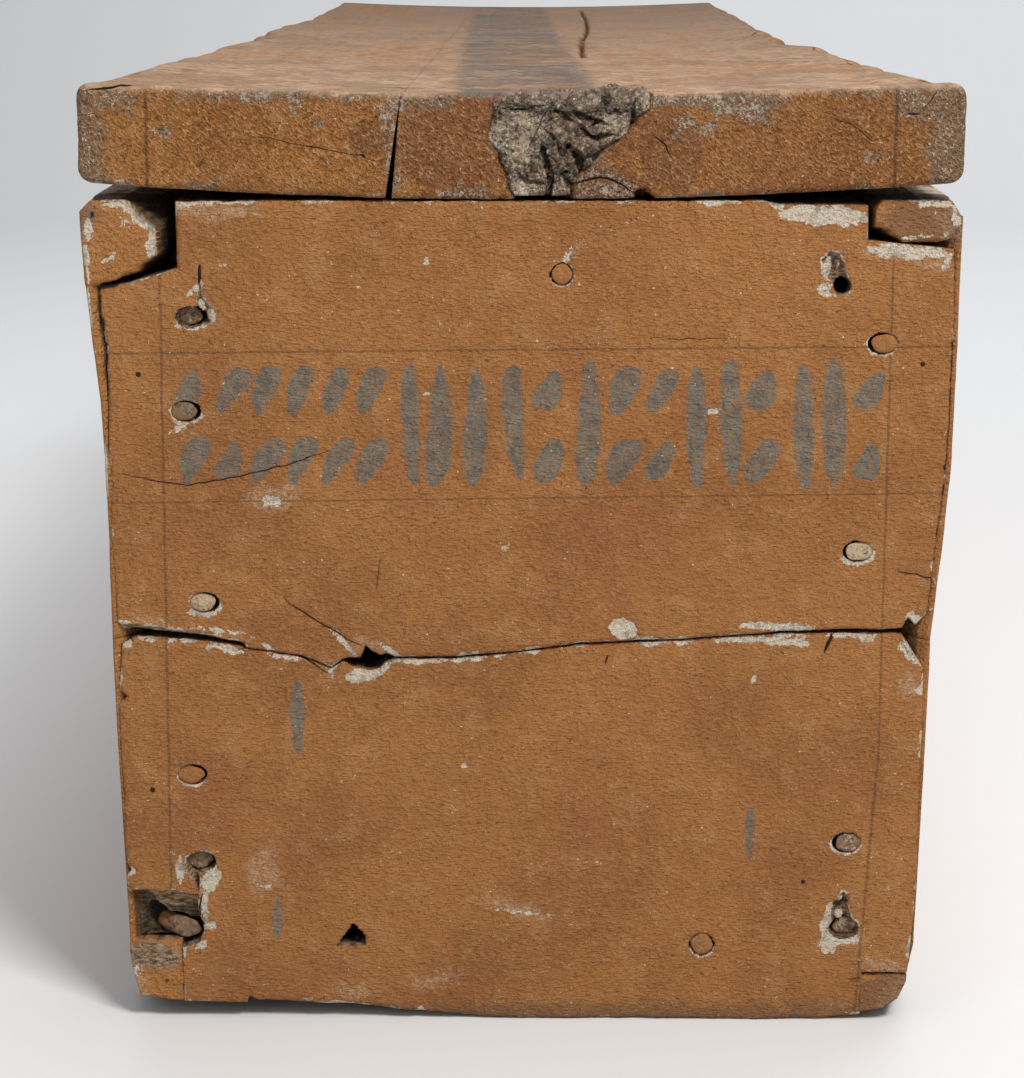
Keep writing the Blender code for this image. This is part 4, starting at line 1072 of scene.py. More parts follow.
def painted_wood(name, grain, lines=(), bored=()):
    """Ochre paint on a white ground over wood, worn through by its masks; grain scales the streaks."""
    finish, tree, shader, place = material(name)
    ground = use(tree, brushed_ground, {"Place": place, "Along": stretched(tree, place, grain)})
    fine = mottle(tree, place, 480.0, 3.0, 0.85)
    stains = mottle(tree, place, 105.0, 4.0, 0.75)
    blue = blend(tree, between(tree, stains, 0.4, 0.62), BLUE_GREY, DEEP_BLUE_GREY)
    rubbed = scaled(tree, between(tree, fine, 0.62, 0.46), 0.55, 0.38)
    worn = scaled(tree, between(tree, fine, 0.44, 0.6), 0.4, 0.14)
    broken = use(tree, broken_ground, {"Flecks": fine, "Stains": stains})["Colour"]
    wood = blend(tree, between(tree, ground["Streaks"], 0.34, 0.62), DARK_WOOD_AND_SHADE, BARE_WOOD)
    gesso = worn_patch(tree, fine, "gesso", 0.0045, 0.0003)
    colour = coats(
        tree, ochre(tree, place, ground),
        (worn_patch(tree, fine, "stroke", 0.004, 0.0007), rubbed, blue),
        (worn_patch(tree, stains, "faded", 0.024, 0.003), worn, GROUND_TAN),
        (worn_patch(tree, stains, "grime", 0.02, 0.004), 0.5, DARKENING_BROWN))
    for ruling in lines:
        colour = coats(tree, colour, (ruled(tree, place, ground["Swell"], fine, ruling), 0.48, INK))
    # Painted shade: cracks, the bored holes and the mask of deep holes, gaps and hidden faces go near black.
    cracked = crack_shade_share(tree, -0.0001, 0.0002)
    flat = stretched(tree, place, (1.0, 0.0, 1.0))
    for across, up, radius in bored:
        away = put(tree, "VectorMath", {0: flat, 1: (across, 0.0, up)}, operation="DISTANCE").outputs["Value"]
        cracked = calc(tree, "MAXIMUM", cracked, between(tree, away, radius * 1.1, radius * 0.8))
    colour = coats(
        tree, colour,
        (ground["Specks"], 0.7, GROUND_WHITE),
        (gesso, 1.0, broken),
        (worn_patch(tree, fine, "bare", 0.002, 0.0003), 1.0, wood),
        (calc(tree, "MAXIMUM", cracked, mask(tree, "dirt")), 1.0, SHADE_BLACK))
    height = scaled(tree, gesso, scaled(tree, fine, 0.6, -0.4), ground["Height"])
    height = scaled(tree, cracked, -0.3, height)
    finish_off(tree, shader, colour, height, 0.0062, 0.78, 0.3)
    return finish


END_GRAIN = (260.0, 260.0, 900.0)
near_paint = painted_wood("ochre paint with ruled lines", END_GRAIN, RULED_LINES, BORED)
for piece, node in ((upper_plank, "near_end_upper_plank"), (lower_plank, "near_end_lower_plank")):
    piece.data.materials.append(near_paint)
    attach(piece, "root")
    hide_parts(node)


# The far end: two softwood planks, painted and pegged like the near ones. It is hidden from the front and
# kept plainer, with sound straight edges and no signs.
FAR_LEFT = (
    (0.222, -0.2212), (0.284, -0.2216), (0.322, -0.2225), (0.353, -0.224), (0.389, -0.2272), (0.4145, -0.23),
)
FAR_RIGHT = (
    (0.222, 0.222), (0.2526, 0.2248), (0.2838, 0.2276), (0.322, 0.2304), (0.389, 0.2312), (0.437, 0.2318),
)
FAR_FOOT_LEFT = ((0.0, -0.221), (0.2215, -0.221))
FAR_FOOT_RIGHT = ((0.0, 0.222), (0.2215, 0.222))
FAR_COLUMNS = (((0.042, 12),), ((0.367, 90),), ((0.042, 12),))
FAR_UPPER_RUNS = (((0.2, 50),), ((0.036, 10),))
FAR_LOWER_RUNS = (((0.04, 10),), ((0.175, 46),))
FAR_WOBBLE = 0.0003
FAR_RIM = 0.6
FAR_FOOT = ((0.0, 0.0004),)
FAR_SEAM, FAR_ROOF = ((0.0, 0.2215),), ((0.0, 0.2219),)
FAR_TOP = ((0.0, 0.4605),)
FAR_CHIPS = (
    (0.12, 0.456, 0.03, 0.005, 2), (-0.17, 0.225, 0.03, 0.005, 0), (-0.05, 0.33, 0.006, 0.004, 20),
    (0.195, 0.02, 0.012, 0.014, 0), (-0.205, 0.09, 0.007, 0.012, 0), (0.04, 0.13, 0.004, 0.003, 0),
)
far_pegs = pegs_of(1, "far_end_peg")
far_upper_pegs = [peg for peg in far_pegs.values() if peg[1] > SEAM_HEIGHT]
far_lower_pegs = [peg for peg in far_pegs.values() if peg[1] < SEAM_HEIGHT]


def sound(x, z):
    """Distance inside the breaks of a plank that has none."""
    return np.full(np.shape(x), OUTSIDE)


def level(x, z):
    """Depth of the breaks of a plank that has none."""
    return np.zeros(np.shape(x))


far_upper_sheet = (FAR_LEFT, FAR_RIGHT, FAR_ROOF, LEDGE, FAR_TOP, (NOTCH_LEFT, NOTCH_RIGHT), FAR_COLUMNS,
                   FAR_UPPER_RUNS, FAR_WOBBLE)
far_upper_outline = [(FAR_LEFT[0][1], 0.2219), (FAR_RIGHT[0][1], 0.2219)] + flipped(FAR_RIGHT)
far_upper_outline += [(NOTCH_RIGHT, 0.44), (NOTCH_RIGHT, 0.4605), (NOTCH_LEFT, 0.4605), (NOTCH_LEFT, 0.425)]
far_upper_outline += flipped(reversed(FAR_LEFT))
far_lower_sheet = (FAR_FOOT_LEFT, FAR_FOOT_RIGHT, FAR_FOOT, FOOT_LEDGE, FAR_SEAM,
                   (FOOT_NOTCH_LEFT, FOOT_NOTCH_RIGHT), FAR_COLUMNS, FAR_LOWER_RUNS, FAR_WOBBLE)
far_lower_outline = [
    (FOOT_NOTCH_LEFT, 0.0004), (FOOT_NOTCH_RIGHT, 0.0004), (FOOT_NOTCH_RIGHT, 0.0285),
    (FAR_FOOT_RIGHT[0][1], 0.0285), (FAR_FOOT_RIGHT[1][1], 0.2215), (FAR_FOOT_LEFT[1][1], 0.2215),
    (FAR_FOOT_LEFT[0][1], 0.0475), (FOOT_NOTCH_LEFT, 0.0475),
]
plain_paint = painted_wood("ochre paint", END_GRAIN)
for name, sheet, dropped_band, outline, pegs, node in (
        ("far_end_top_board", far_upper_sheet, 1, far_upper_outline, far_upper_pegs, "far_end_upper_plank"),
        ("far_end_foot_board", far_lower_sheet, 0, far_lower_outline, far_lower_pegs, "far_end_lower_plank")):
    far_plank = end_plank(name, 1, sheet, dropped_band, outline, sound, level, FAR_CHIPS, (), (), (), (),
                          pegs, [FAR_RIM] * len(pegs))
    far_plank.data.materials.append(plain_paint)
    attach(far_plank, "root")
    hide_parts(node)


# The long sides: two planks each, 48 mm thick, mitred behind the end planks' faces. At the top and the foot
# of each corner a shoulder keeps the side's full thickness and comes through to the end, as a worn block.
FOOT_LAP = 0.034
SEAM_PLAY = 0.0003
# Stations of a section: place in from the outer face, and how far the rim or the foot lies off its level
RIM_SOUND = ((0.0, -0.005), (0.002, 0.0), (0.045, 0.0), (0.048, -0.003))
RIM_WORN = {
    -1: ((0.0, -0.006), (0.006, 0.0), (0.022, 0.0), (0.041, -0.017)),
    1: ((0.001, -0.008), (0.006, 0.0), (0.043, 0.0), (0.046, -0.004)),
}
FOOT_SOUND = ((0.0, 0.02), (0.001, 0.008), (0.004, 0.0), (0.02, 0.0), (0.048, 0.0))
FOOT_WORN = {
    -1: ((0.004, 0.042), (0.0055, 0.03), (0.0095, 0.014), (0.028, 0.0115), (0.048, 0.0115)),
    1: ((0.0035, 0.045), (0.0075, 0.023), (0.012, 0.013), (0.02, 0.0075), (0.048, 0.003)),
}
# How worn a side is: whole at the near end, less along it, and this share of it at the far end
FAR_WEAR = 0.25
WEAR_ALONG = ((0.0, 1.0), (0.012, 0.75), (0.045, 0.2), (0.09, 0.0))
# Outlines of the shoulders that show as corner blocks at the top, and the height of those at the foot
TOP_BLOCK = {
    -1: (
        (-0.2338, 0.456), (-0.231, 0.4585), (-0.227, 0.461), (-0.212, 0.461), (-0.205, 0.456),
        (-0.196, 0.448), (-0.193, 0.444), (-0.194, 0.432), (-0.204, 0.423), (-0.22, 0.417), (-0.2325, 0.415),
    ),
    1: (
        (0.187, 0.461), (0.185, 0.448), (0.199, 0.442), (0.203, 0.4385), (0.227, 0.44), (0.2325, 0.448),
        (0.2335, 0.457), (0.23, 0.461),
    ),
}
FOOT_BLOCK_TOP = {-1: 0.0465, 1: 0.0275}
# Where the blocks have lost their paint, as ovals: middle across and up, half sizes, lean in degrees
BLOCK_CHIPS = {
    -1: (
        (-0.201, 0.45, 0.012, 0.0026, -42), (-0.1955, 0.4375, 0.0026, 0.0085, 4),
        (-0.212, 0.459, 0.011, 0.0012, 0), (-0.229, 0.445, 0.002, 0.006, 0), (-0.219, 0.43, 0.004, 0.001, 30),
        (-0.231, 0.427, 0.0012, 0.01, 0), (-0.215, 0.012, 0.002, 0.002, 30),
    ),
    1: ((0.23, 0.453, 0.0026, 0.007, 10), (0.22, 0.459, 0.009, 0.0012, 0), (0.208, 0.4418, 0.009, 0.0004, 4)),
}
BLOCK_FADED = {
    -1: (
        (-0.229, 0.449, 0.005, 0.007, 0), (-0.206, 0.037, 0.015, 0.0085, 0), (-0.216, 0.016, 0.005, 0.012, 0),
    ),
    1: ((0.227, 0.448, 0.006, 0.012, 0), (0.21, 0.008, 0.014, 0.006, 20), (0.215, 0.022, 0.006, 0.003, 20)),
}
BLOCK_BARE = {-1: ((-0.207, 0.0385, 0.015, 0.0068, -6),), 1: ((0.21, 0.003, 0.015, 0.006, 15),)}
# Patches where the blocks are painted darker, as ovals
BLOCK_DARKENING = {
    -1: ((-0.207, 0.037, 0.015, 0.008, 0), (-0.229, 0.452, 0.006, 0.008, 0)),
    1: ((0.208, 0.008, 0.026, 0.02, 12), (0.214, 0.45, 0.023, 0.015, 0), (0.225, 0.448, 0.01, 0.016, 0)),
}
# Small holes in the blocks, painted dark as shade, as ovals
BLOCK_HOLES = {-1: ((-0.2269, 0.4535, 0.0016, 0.0016, 0), (-0.199, 0.023, 0.0015, 0.0013, 0)), 1: ()}
SIDE_COLUMNS = ((0.048, 38),)
SIDE_RUNS = {True: ((0.19, 76), (0.05, 46)), False: ((0.052, 44), (0.17, 66))}
SIDE_STATIONS = 78
SIDE_FINEST = 0.0022


def mixed(sound_stations, worn_stations, share):
    """Stations part of the way from sound to worn, as two arrays with one row for each share."""
    a, b = np.array(sound_stations), np.array(worn_stations)
    return a + (b - a) * np.asarray(share)[..., None, None]


def read_rows(stations, places):
    """A value read off each row's own stations, a straight run at a time."""
    where, value = stations[..., 0], stations[..., 1]
    result = value[..., 0]
    for k in range(stations.shape[-2] - 1):
        run = np.clip((places - where[..., k]) / (where[..., k + 1] - where[..., k]), 0, 1)
        result = result + run * (value[..., k + 1] - value[..., k])
    return result


def side_section(side, upper, s, t, wear):
    """Place in from the outer face, and height, at shares s through the wall and t up the plank.

    The face and the rim are straight runs between their stations, and a point lies a share t of the way from
    the bottom line to the top line and a share s from the outer line to the inner one.
    """
    if upper:
        stations = mixed(RIM_SOUND, RIM_WORN[side], wear)
        inner = WALL - (WALL - stations[..., -1, 0]) * t
        u = inner * s
        top = BOX_HEIGHT + read_rows(stations, u)
        return u, SEAM_HEIGHT + SEAM_PLAY + (top - SEAM_HEIGHT - SEAM_PLAY) * t
    stations = mixed(FOOT_SOUND, FOOT_WORN[side], wear)
    outer = stations[..., :3, ::-1][..., ::-1, :]
    z = stations[..., 2, 1] + (SEAM_HEIGHT - stations[..., 2, 1]) * t
    start = read_rows(outer, z) * ramp(SEAM_HEIGHT - z, SEAM_HEIGHT - 0.05)
    u = start + (WALL - start) * s
    bottom = read_rows(stations[..., 2:, :], u)
    return u, bottom + (SEAM_HEIGHT - bottom) * t


def side_end_depth(side, upper, u, x, z, fresh):
    """How far a side plank's end lies back: 45 degrees along the mitre, none at the shoulders."""
    mitre = np.maximum(u - MITRE_TIP, 0) + 0.0008
    arris = 0.0022 * (1 + 0.6 * clouds(x, 0.0, z, 0.012, 2, 71)) * (1 - 0.5 * fresh)
    tip = rounded(np.minimum(u, 0.0015), arris)
    relief = 0.0006 * (1 + clouds(x, 0.0, z, 0.009, 3, 72))
    if upper:
        block = broken_in(x, z, (TOP_BLOCK[side],), 73, 0.0007)
    else:
        block = np.minimum(FOOT_BLOCK_TOP[side] - z, 4 * (FOOT_LAP - u)) + ragged(x, z, 0.0006, 74)
        block = np.minimum(block, np.maximum(u, z) + 0.0002)
    bevel = 0.0045 * ramp(x + 0.212, 0.008) * ramp(z - 0.428, 0.006) * (side < 0)
    raised = rounded(np.maximum(block, 0), arris + 0.0012 + bevel) + relief
    return np.where(block > 0, raised, np.minimum(mitre, 0.005 + 6 * np.abs(block)) + tip)


def grid_border(rows, columns):
    """Indices round a grid's border: first row, last column, last row back, first column down."""
    index = np.arange(rows * columns).reshape(rows, columns)
    return np.concatenate([index[0, :-1], index[:-1, -1], index[-1, :0:-1], index[:0:-1, 0]])


def tube_faces(loops):
    """The four-sided faces between loops of point numbers, one loop to a row."""
    onward = np.roll(loops, -1, axis=1)
    return np.stack([loops[:-1], loops[1:], onward[1:], onward[:-1]], -1).reshape(-1, 4)


def capped_board(near, rings, far):
    """A closed board: a grid over its near end, rings of border points along it, a grid over its far end."""
    rows, columns = near.shape[:2]
    border = grid_border(rows, columns)
    count, around = rows * columns, len(border)
    points = np.concatenate([near.reshape(-1, 3), rings.reshape(-1, 3), far.reshape(-1, 3)])
    far_start = count + len(rings) * around
    middle = [count + k * around + np.arange(around) for k in range(len(rings))]
    walls = tube_faces(np.stack([border] + middle + [far_start + border]))
    caps = sheet_faces(rows, columns)
    return points, [np.concatenate([caps, walls, caps[:, ::-1] + far_start])]


def stretch(count, finest, total):
    """Shares along a length whose steps grow evenly from the finest, by a ratio found by halving."""
    low, high = 1.0, 2.0
    for _ in range(60):
        ratio = (low + high) / 2
        reached = finest * (ratio ** count - 1) / (ratio - 1)
        low, high = (ratio, high) if reached < total else (low, ratio)
    ends = finest * (ratio ** np.arange(1, count) - 1) / (ratio - 1)
    return ends / total


def ring_places(caps, s, t, count, finest):
    """Where the rings between a board's two end grids lie: border shares s and t, and y, a row a ring.

    The steps between rings grow from the finest, and y = near (1 - share) + far share.
    """
    border = grid_border(*caps[0].shape[:2])
    shares_s, shares_t = [(a + 0 * s * t).ravel()[border] for a in (s, t)]
    near, far = [cap[..., 1].ravel()[border] for cap in caps]
    shares = stretch(count, finest, far_y - near_y)[:, None]
    return shares_s, shares_t, near * (1 - shares) + far * shares


def side_plank(side, upper, name):
    """A long side plank: its section at every station carries the worn end, the relief and the bowed face."""
    s = steps(*SIDE_COLUMNS)[None, :]
    t = steps(*SIDE_RUNS[upper])[:, None]
    caps = []
    for end, wear in ((-1, 1.0), (1, FAR_WEAR)):
        u, z = side_section(side, upper, s, t, np.float64(wear) + 0 * s * t)
        x = side * (face_out(side, z) - u)
        depth = side_end_depth(side, upper, u, x, z, 0.0 if end < 0 else 1.0)
        caps.append(np.stack([x, along(end, np.maximum(depth, 0)), np.maximum(z, 0)], -1))
    shares_s, shares_t, y = ring_places(caps, s, t, SIDE_STATIONS, SIDE_FINEST)
    wear = line(WEAR_ALONG, y - near_y) + FAR_WEAR * line(WEAR_ALONG, far_y - y)
    u, z = side_section(side, upper, shares_s[None, :], shares_t[None, :], wear)
    relief = 0.0004 * (1 + clouds(u, y * 0.25, z, 0.02, 3, 75))
    relief = relief + 0.0003 * (1 + cloud(u, y * 0.04, z, 0.003, 76))
    worn_arris = 0.0022 * ramp(clouds(u, y, z, 0.035, 3, 77) + 0.1)
    if upper:
        z = z - np.where(shares_t == 1, relief + worn_arris * ramp(1 - u / 0.006), 0)
    u = u + np.where(shares_s == 0, relief + worn_arris * ramp(1 - (1 - shares_t) / 0.03) * upper, 0)
    rings = np.stack([side * (face_out(side, z) - u), y, z], -1)
    points, faces = capped_board(caps[0], rings, caps[1])

    x, y, z = points.T
    u = face_out(side, z) - side * x
    behind = np.minimum(y - near_y, far_y - y)
    on_end = y < near_y + FACE_DEPTH
    in_mitre = (behind > 0.0062) & (behind < WALL) & (u > 0.003) & (u < WALL - 0.002)
    bare_inside = (u > 0.02) & (behind > 0.008)
    from_arris = np.minimum(behind, np.maximum(BOX_HEIGHT - z, 0) + 0.001)
    rubbed = 0.0022 + 0.004 * clouds(x, y, z, 0.02, 3, 78) - from_arris
    chipped = patch(x, z, BLOCK_CHIPS[side]) + ragged(x, z, 0.0012, 70)
    rubbed = np.where(on_end & (u > 0.0012), chipped, np.where(behind < FACE_DEPTH, rubbed - 0.0015, rubbed))
    lost = 0.008 * (clouds(u * 0.3, y * 0.6, z, 0.03, 4, 79 + side) - 0.95)
    # Painted shade: the mitre faces between the boards and the small holes in the blocks are coloured dark.
    bored = ramp(patch(x, z, BLOCK_HOLES[side]), 0.0004) * on_end
    return make_piece(name, points, faces, {
        "stroke": OUTSIDE,
        "faded": np.where(on_end, patch(x, z, BLOCK_FADED[side]), lost + 0.0012),
        # Darker towards the foot, and in patches on the blocks
        "grime": np.where(on_end, patch(x, z, BLOCK_DARKENING[side]), 0.012 - z),
        "gesso": np.maximum(rubbed, lost - 0.0006),
        "bare": np.where(bare_inside, 0.01, np.where(on_end, patch(x, z, BLOCK_BARE[side]), OUTSIDE)),
        "dirt": np.maximum(np.where(in_mitre, 0.7, 0.0), bored),
        "crack": 0.01,
        "crack_width": 0.0,
    })


SIDE_GRAIN = (230.0, 80.0, 520.0)
side_paint = painted_wood("ochre paint along the sides", SIDE_GRAIN)
for side, side_name in ((-1, "left"), (1, "right")):
    for upper, level_name in ((True, "upper"), (False, "lower")):
        plank = side_plank(side, upper, "{}_wall_{}_board".format(side_name, level_name))
        plank.data.materials.append(side_paint)
        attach(plank, "root")
        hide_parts("{}_side_{}_plank".format(side_name, level_name))


# The pegs: split hardwood rods, rounded with a knife, driven at 45 degrees from the end planks' faces to the
# sides' outer faces, and cut off flush. Two go straight in, one high in the middle and one into the floor.
PEG_TURNS = 28
HEAD_SHARES = (0.3, 0.55, 0.75, 0.9, 1.0)
LENGTH_SHARES = (0.15, 0.55, 0.97)
TAIL_SHARES = (1.0, 0.85, 0.6, 0.3)
PEG_FITS = 0.955
PEG_SHORT = 0.0002
HEAD_LIP = 0.0012
# A peg without a state of its own: no rim of ground, and this much paint and ground on its head
PLAIN_STATE = (0.0, 0.5, 0.1)


def peg_piece(name, peg, end, number):
    """A peg: rings of a rough circle over its head, down its length, and over its tail.

    A point at angle a lies r cos a across and r sin a up from the peg's line; a slanting peg's head and tail
    are cut by the faces, so it is root 2 as wide there, and each step in is a step sideways.
    """
    x, z, radius, head, side = peg
    angle = 2 * np.pi * np.arange(PEG_TURNS) / PEG_TURNS
    uneven = 1 + 0.05 * np.cos(4 * angle + number)
    uneven = uneven + 0.05 * clouds(np.cos(angle), np.sin(angle), number * 7.0, 0.9, 2, 81)
    radii = radius * PEG_FITS * np.minimum(uneven, 1.04)
    across, up = radii * np.cos(angle), radii * np.sin(angle)
    slant = SLANT if side else 1.0
    face = face_out(side, z) - PEG_SHORT
    start = head + face - abs(x)
    low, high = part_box(name)
    length = (high.y - low.y) - PEG_SHORT
    rings = []
    for share in HEAD_SHARES:
        edge = 0.0009 * max(0.0, share - 0.75) / 0.25
        rough = 0.0005 * (1 + clouds(across * share, number * 3.0, up * share, 0.004, 2, 82)) + edge
        rings.append((x + side * rough + across * share * slant, along(end, head + rough), z + up * share))
    tail_depth = start - side * across * slant if side else np.full(PEG_TURNS, head + length)
    for share in LENGTH_SHARES:
        depth = head + HEAD_LIP + (tail_depth - head - HEAD_LIP) * share
        rings.append((x + side * (depth - head) + across * slant, along(end, depth), z + up))
    for share in TAIL_SHARES:
        depth = start - side * across * share * slant if side else tail_depth
        tail_x = side * face + 0 * angle if side else x + across * share
        rings.append((tail_x, along(end, depth), z + up * share))
    head_middle = (x + side * 0.0005, along(end, head + 0.0005), z)
    tail_middle = (side * face, along(end, start), z) if side else (x, along(end, head + length), z)
    points = np.concatenate([np.stack(ring, -1) for ring in rings] + [[head_middle, tail_middle]])
    first = len(rings) * PEG_TURNS
    loops = np.arange(first).reshape(len(rings), PEG_TURNS)
    onward = np.roll(loops, -1, axis=1)
    head_fan = np.stack([np.full(PEG_TURNS, first), loops[0], onward[0]], -1)
    tail_fan = np.stack([np.full(PEG_TURNS, first + 1), onward[-1], loops[-1]], -1)
    painted, chalked = PEG_STATES.get(name.replace("near_end_peg_", ""), PLAIN_STATE)[1:]
    near_head = np.abs(points[:, 1] - along(end, head)) < 0.004
    return make_piece(name + "_wood", points, [tube_faces(loops), np.concatenate([head_fan, tail_fan])], {
        "paint": np.where(near_head, painted, 0.6),
        "ground": np.where(near_head, chalked, 0.0),
    })


PEG_WOOD = srgb(156, 128, 102)
PEG_DARK = srgb(98, 76, 58)
PEG_STAIN = srgb(142, 108, 78)
PEG_CHALK = srgb(206, 182, 148)
peg_finish, tree, shader, place = material("bare peg wood")
grain = mottle(tree, place, (420.0, 60.0, 420.0), 4.0, 0.65)
ground = use(tree, brushed_ground, {"Place": place, "Along": stretched(tree, place, END_GRAIN)})
thin, thick = [scaled(tree, mask(tree, "paint"), -0.5, most) for most in (0.78, 0.82)]
paint_left = between(tree, mottle(tree, place, 380.0, 3.0, 0.75), thin, thick)
chalk = scaled(tree, mask(tree, "ground"), 0.45, mottle(tree, place, 330.0, 3.0, 0.7))
colour = coats(
    tree, blend(tree, between(tree, grain, 0.36, 0.64), PEG_DARK, PEG_WOOD),
    (between(tree, mottle(tree, place, 90.0), 0.45, 0.6), 1.0, PEG_STAIN),
    (between(tree, chalk, 0.72, 0.86), 0.8, PEG_CHALK),
    (paint_left, 1.0, ochre(tree, place, ground)))
finish_off(tree, shader, colour, grain, 0.003, 0.78, 0.3)
for end, pegs in ((-1, near_pegs), (1, far_pegs)):
    for number, (node, peg) in enumerate(pegs.items()):
        rod = peg_piece(node, peg, end, number)
        rod.data.materials.append(peg_finish)
        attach(rod, "root")
        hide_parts(node)


# The floor: two rough boards between the walls, bare, held by a peg through the near end. Nothing of them
# shows from outside, so the solid parts keep their shape and take a sawn, unpainted finish.
floor_finish, tree, shader, place = material("bare floor boards")
grain = mottle(tree, place, (260.0, 9.0, 260.0), 4.0, 0.6)
colour = blend(tree, between(tree, grain, 0.35, 0.65), DARK_WOOD_AND_SHADE, BARE_WOOD)
finish_off(tree, shader, colour, grain, 0.0012, 0.85, strength=0.8)
for node in ("floor_plank_left", "floor_plank_right"):
    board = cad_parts[node]
    board.data.materials.clear()
    board.data.materials.append(floor_finish)


# The lid: two thick planks side by side, cupped by age so that their edges lift, with a slanting seam that
# gapes at the near end. Its ends keep the ochre paint over coarse end grain; the top has weathered to
# grey-brown wood.
LID_HALF = 0.234
LID_UNDER = 0.4613
LID_OVER = 0.5168
LID_CUP_UNDER = 0.009
LID_CUP_OVER = 0.006
LID_SEAM = -0.0665
LID_SEAM_SLANT = 0.0035
LID_SEAM_GAPE = 0.0035
LID_CORNER = 0.009
LID_COLUMN = 0.00138
LID_STATIONS = 100
LID_FINEST = 0.002
# How far a plank's outer edge is worn in, by share of its length
LID_EDGE_WEAR = {
    -1: (
        (0.0, 0.0), (0.1, 0.004), (0.18, 0.008), (0.28, 0.009), (0.36, 0.016), (0.45, 0.01), (0.545, 0.006),
        (0.68, 0.012), (0.8, 0.005), (0.925, 0.001), (1.0, 0.0),
    ),
    1: (
        (0.0, 0.0), (0.07, 0.009), (0.18, 0.013), (0.28, 0.014), (0.34, 0.029), (0.45, 0.022), (0.575, 0.015),
        (0.72, 0.009), (0.875, 0.003), (0.94, 0.001), (1.0, 0.0),
    ),
}
# The mud patch by share of the lid's thickness: left edge and right edge
MUD_EDGES = (
    (0.0, -0.004, 0.027), (0.09, -0.006, 0.029), (0.23, -0.0085, 0.032), (0.33, -0.012, 0.0385),
    (0.43, -0.0145, 0.043), (0.6, -0.0185, 0.056), (0.8, -0.017, 0.065), (1.0, -0.014, 0.07),
)
# How far the patch laps back over the top
MUD_REACH = 0.034
# Cracks in the lid's near end, each its half width and the points it runs through
LID_CRACKS = (
    (0.0005, ((-0.142, 0.4945), (-0.13, 0.493), (-0.105, 0.488), (-0.084, 0.484), (-0.069, 0.4805))),
    (0.001, ((-0.086, 0.4855), (-0.0835, 0.485), (-0.081, 0.484))),
    (0.0005, ((0.16, 0.5045), (0.171, 0.502), (0.185, 0.492), (0.195, 0.495))),
    (0.001, ((0.202, 0.507), (0.206, 0.5065), (0.2095, 0.506))),
    (0.0005, ((0.219, 0.5195), (0.215, 0.513), (0.2105, 0.507))),
    (0.0013, ((-0.227, 0.519), (-0.216, 0.52), (-0.204, 0.521))),
    (0.0011, ((0.027, 0.469), (0.0296, 0.4704), (0.0421, 0.4733), (0.0488, 0.4718), (0.0555, 0.4678),
              (0.0615, 0.4641))),
    (0.0008, ((0.069, 0.496), (0.076, 0.49), (0.08, 0.483))),
)
# A notch under the lid, painted dark as shade, and where the paint is chipped down to its ground, as ovals
LID_NOTCH = (0.0655, 0.4625, 0.0062, 0.0038, -30)
LID_CHIPS = (
    (0.116, 0.5085, 0.015, 0.003, 0), (0.125, 0.504, 0.007, 0.0024, 0), (0.0985, 0.499, 0.006, 0.0022, 30),
    (0.0835, 0.499, 0.0012, 0.0055, -25), (0.088, 0.502, 0.005, 0.0012, -20),
    (0.186, 0.484, 0.0026, 0.001, 0), (-0.189, 0.497, 0.0034, 0.002, 0), (-0.168, 0.4685, 0.008, 0.0016, 0),
    (-0.139, 0.516, 0.009, 0.0034, 0), (-0.118, 0.512, 0.003, 0.004, 0), (-0.106, 0.5005, 0.0016, 0.0016, 0),
    (-0.085, 0.5165, 0.02, 0.0014, 0), (-0.07, 0.49, 0.0014, 0.02, 8), (-0.026, 0.465, 0.009, 0.0022, 0),
    (0.09, 0.514, 0.025, 0.0022, 0), (-0.0665, 0.512, 0.005, 0.008, 0), (0.035, 0.4736, 0.007, 0.0012, 14),
    (0.045, 0.4744, 0.004, 0.0014, 0), (0.053, 0.4712, 0.006, 0.0016, -38),
    (0.059, 0.4668, 0.004, 0.0014, -38), (0.06, 0.462, 0.003, 0.001, 0), (0.045, 0.4665, 0.012, 0.0016, -6),
    (0.038, 0.48, 0.006, 0.0014, 60), (0.033, 0.466, 0.003, 0.004, 0),
)
# Places worn back to greyish wood and grit: the ends, and runs along the top arris
LID_WORN = (
    (-0.229, 0.492, 0.01, 0.04, 0), (0.227, 0.492, 0.014, 0.04, 0), (0.098, 0.515, 0.042, 0.005, 0),
    (-0.139, 0.517, 0.05, 0.003, 0), (0.17, 0.519, 0.05, 0.0022, 0), (-0.05, 0.514, 0.016, 0.005, 0),
    (0.21, 0.513, 0.016, 0.01, 0), (-0.215, 0.514, 0.016, 0.006, 0),
)
# Dark stains on the end grain
LID_STAINS = (
    (-0.08, 0.492, 0.013, 0.011, 0), (0.127, 0.502, 0.02, 0.003, 38), (-0.038, 0.49, 0.03, 0.03, 0),
    (0.078, 0.488, 0.02, 0.026, 20), (0.048, 0.472, 0.024, 0.01, -10),
)
# The long split in the top, and the edges of the dark band along it: place behind the near end, and across
TOP_SPLIT = ((0.55, 0.043), (0.8, 0.047), (1.09, 0.058), (1.45, 0.064), (1.9, 0.066))
SPLIT_ENDS = (0.5, 1.92)
BAND_LEFT = ((0.0, -0.035), (0.6, -0.046), (1.75, -0.06), (2.0, -0.062))
BAND_RIGHT = ((0.0, 0.042), (0.34, 0.039), (0.82, 0.029), (1.85, 0.022), (2.0, 0.02))


def lid_under(x):
    """Height of the lid's cupped underside: its lowest height plus cup times (x / half width)^2."""
    return LID_UNDER + LID_CUP_UNDER * (x / LID_HALF) ** 2


def lid_over(x):
    """Height of the lid's cupped upper face."""
    return LID_OVER + LID_CUP_OVER * (x / LID_HALF) ** 2


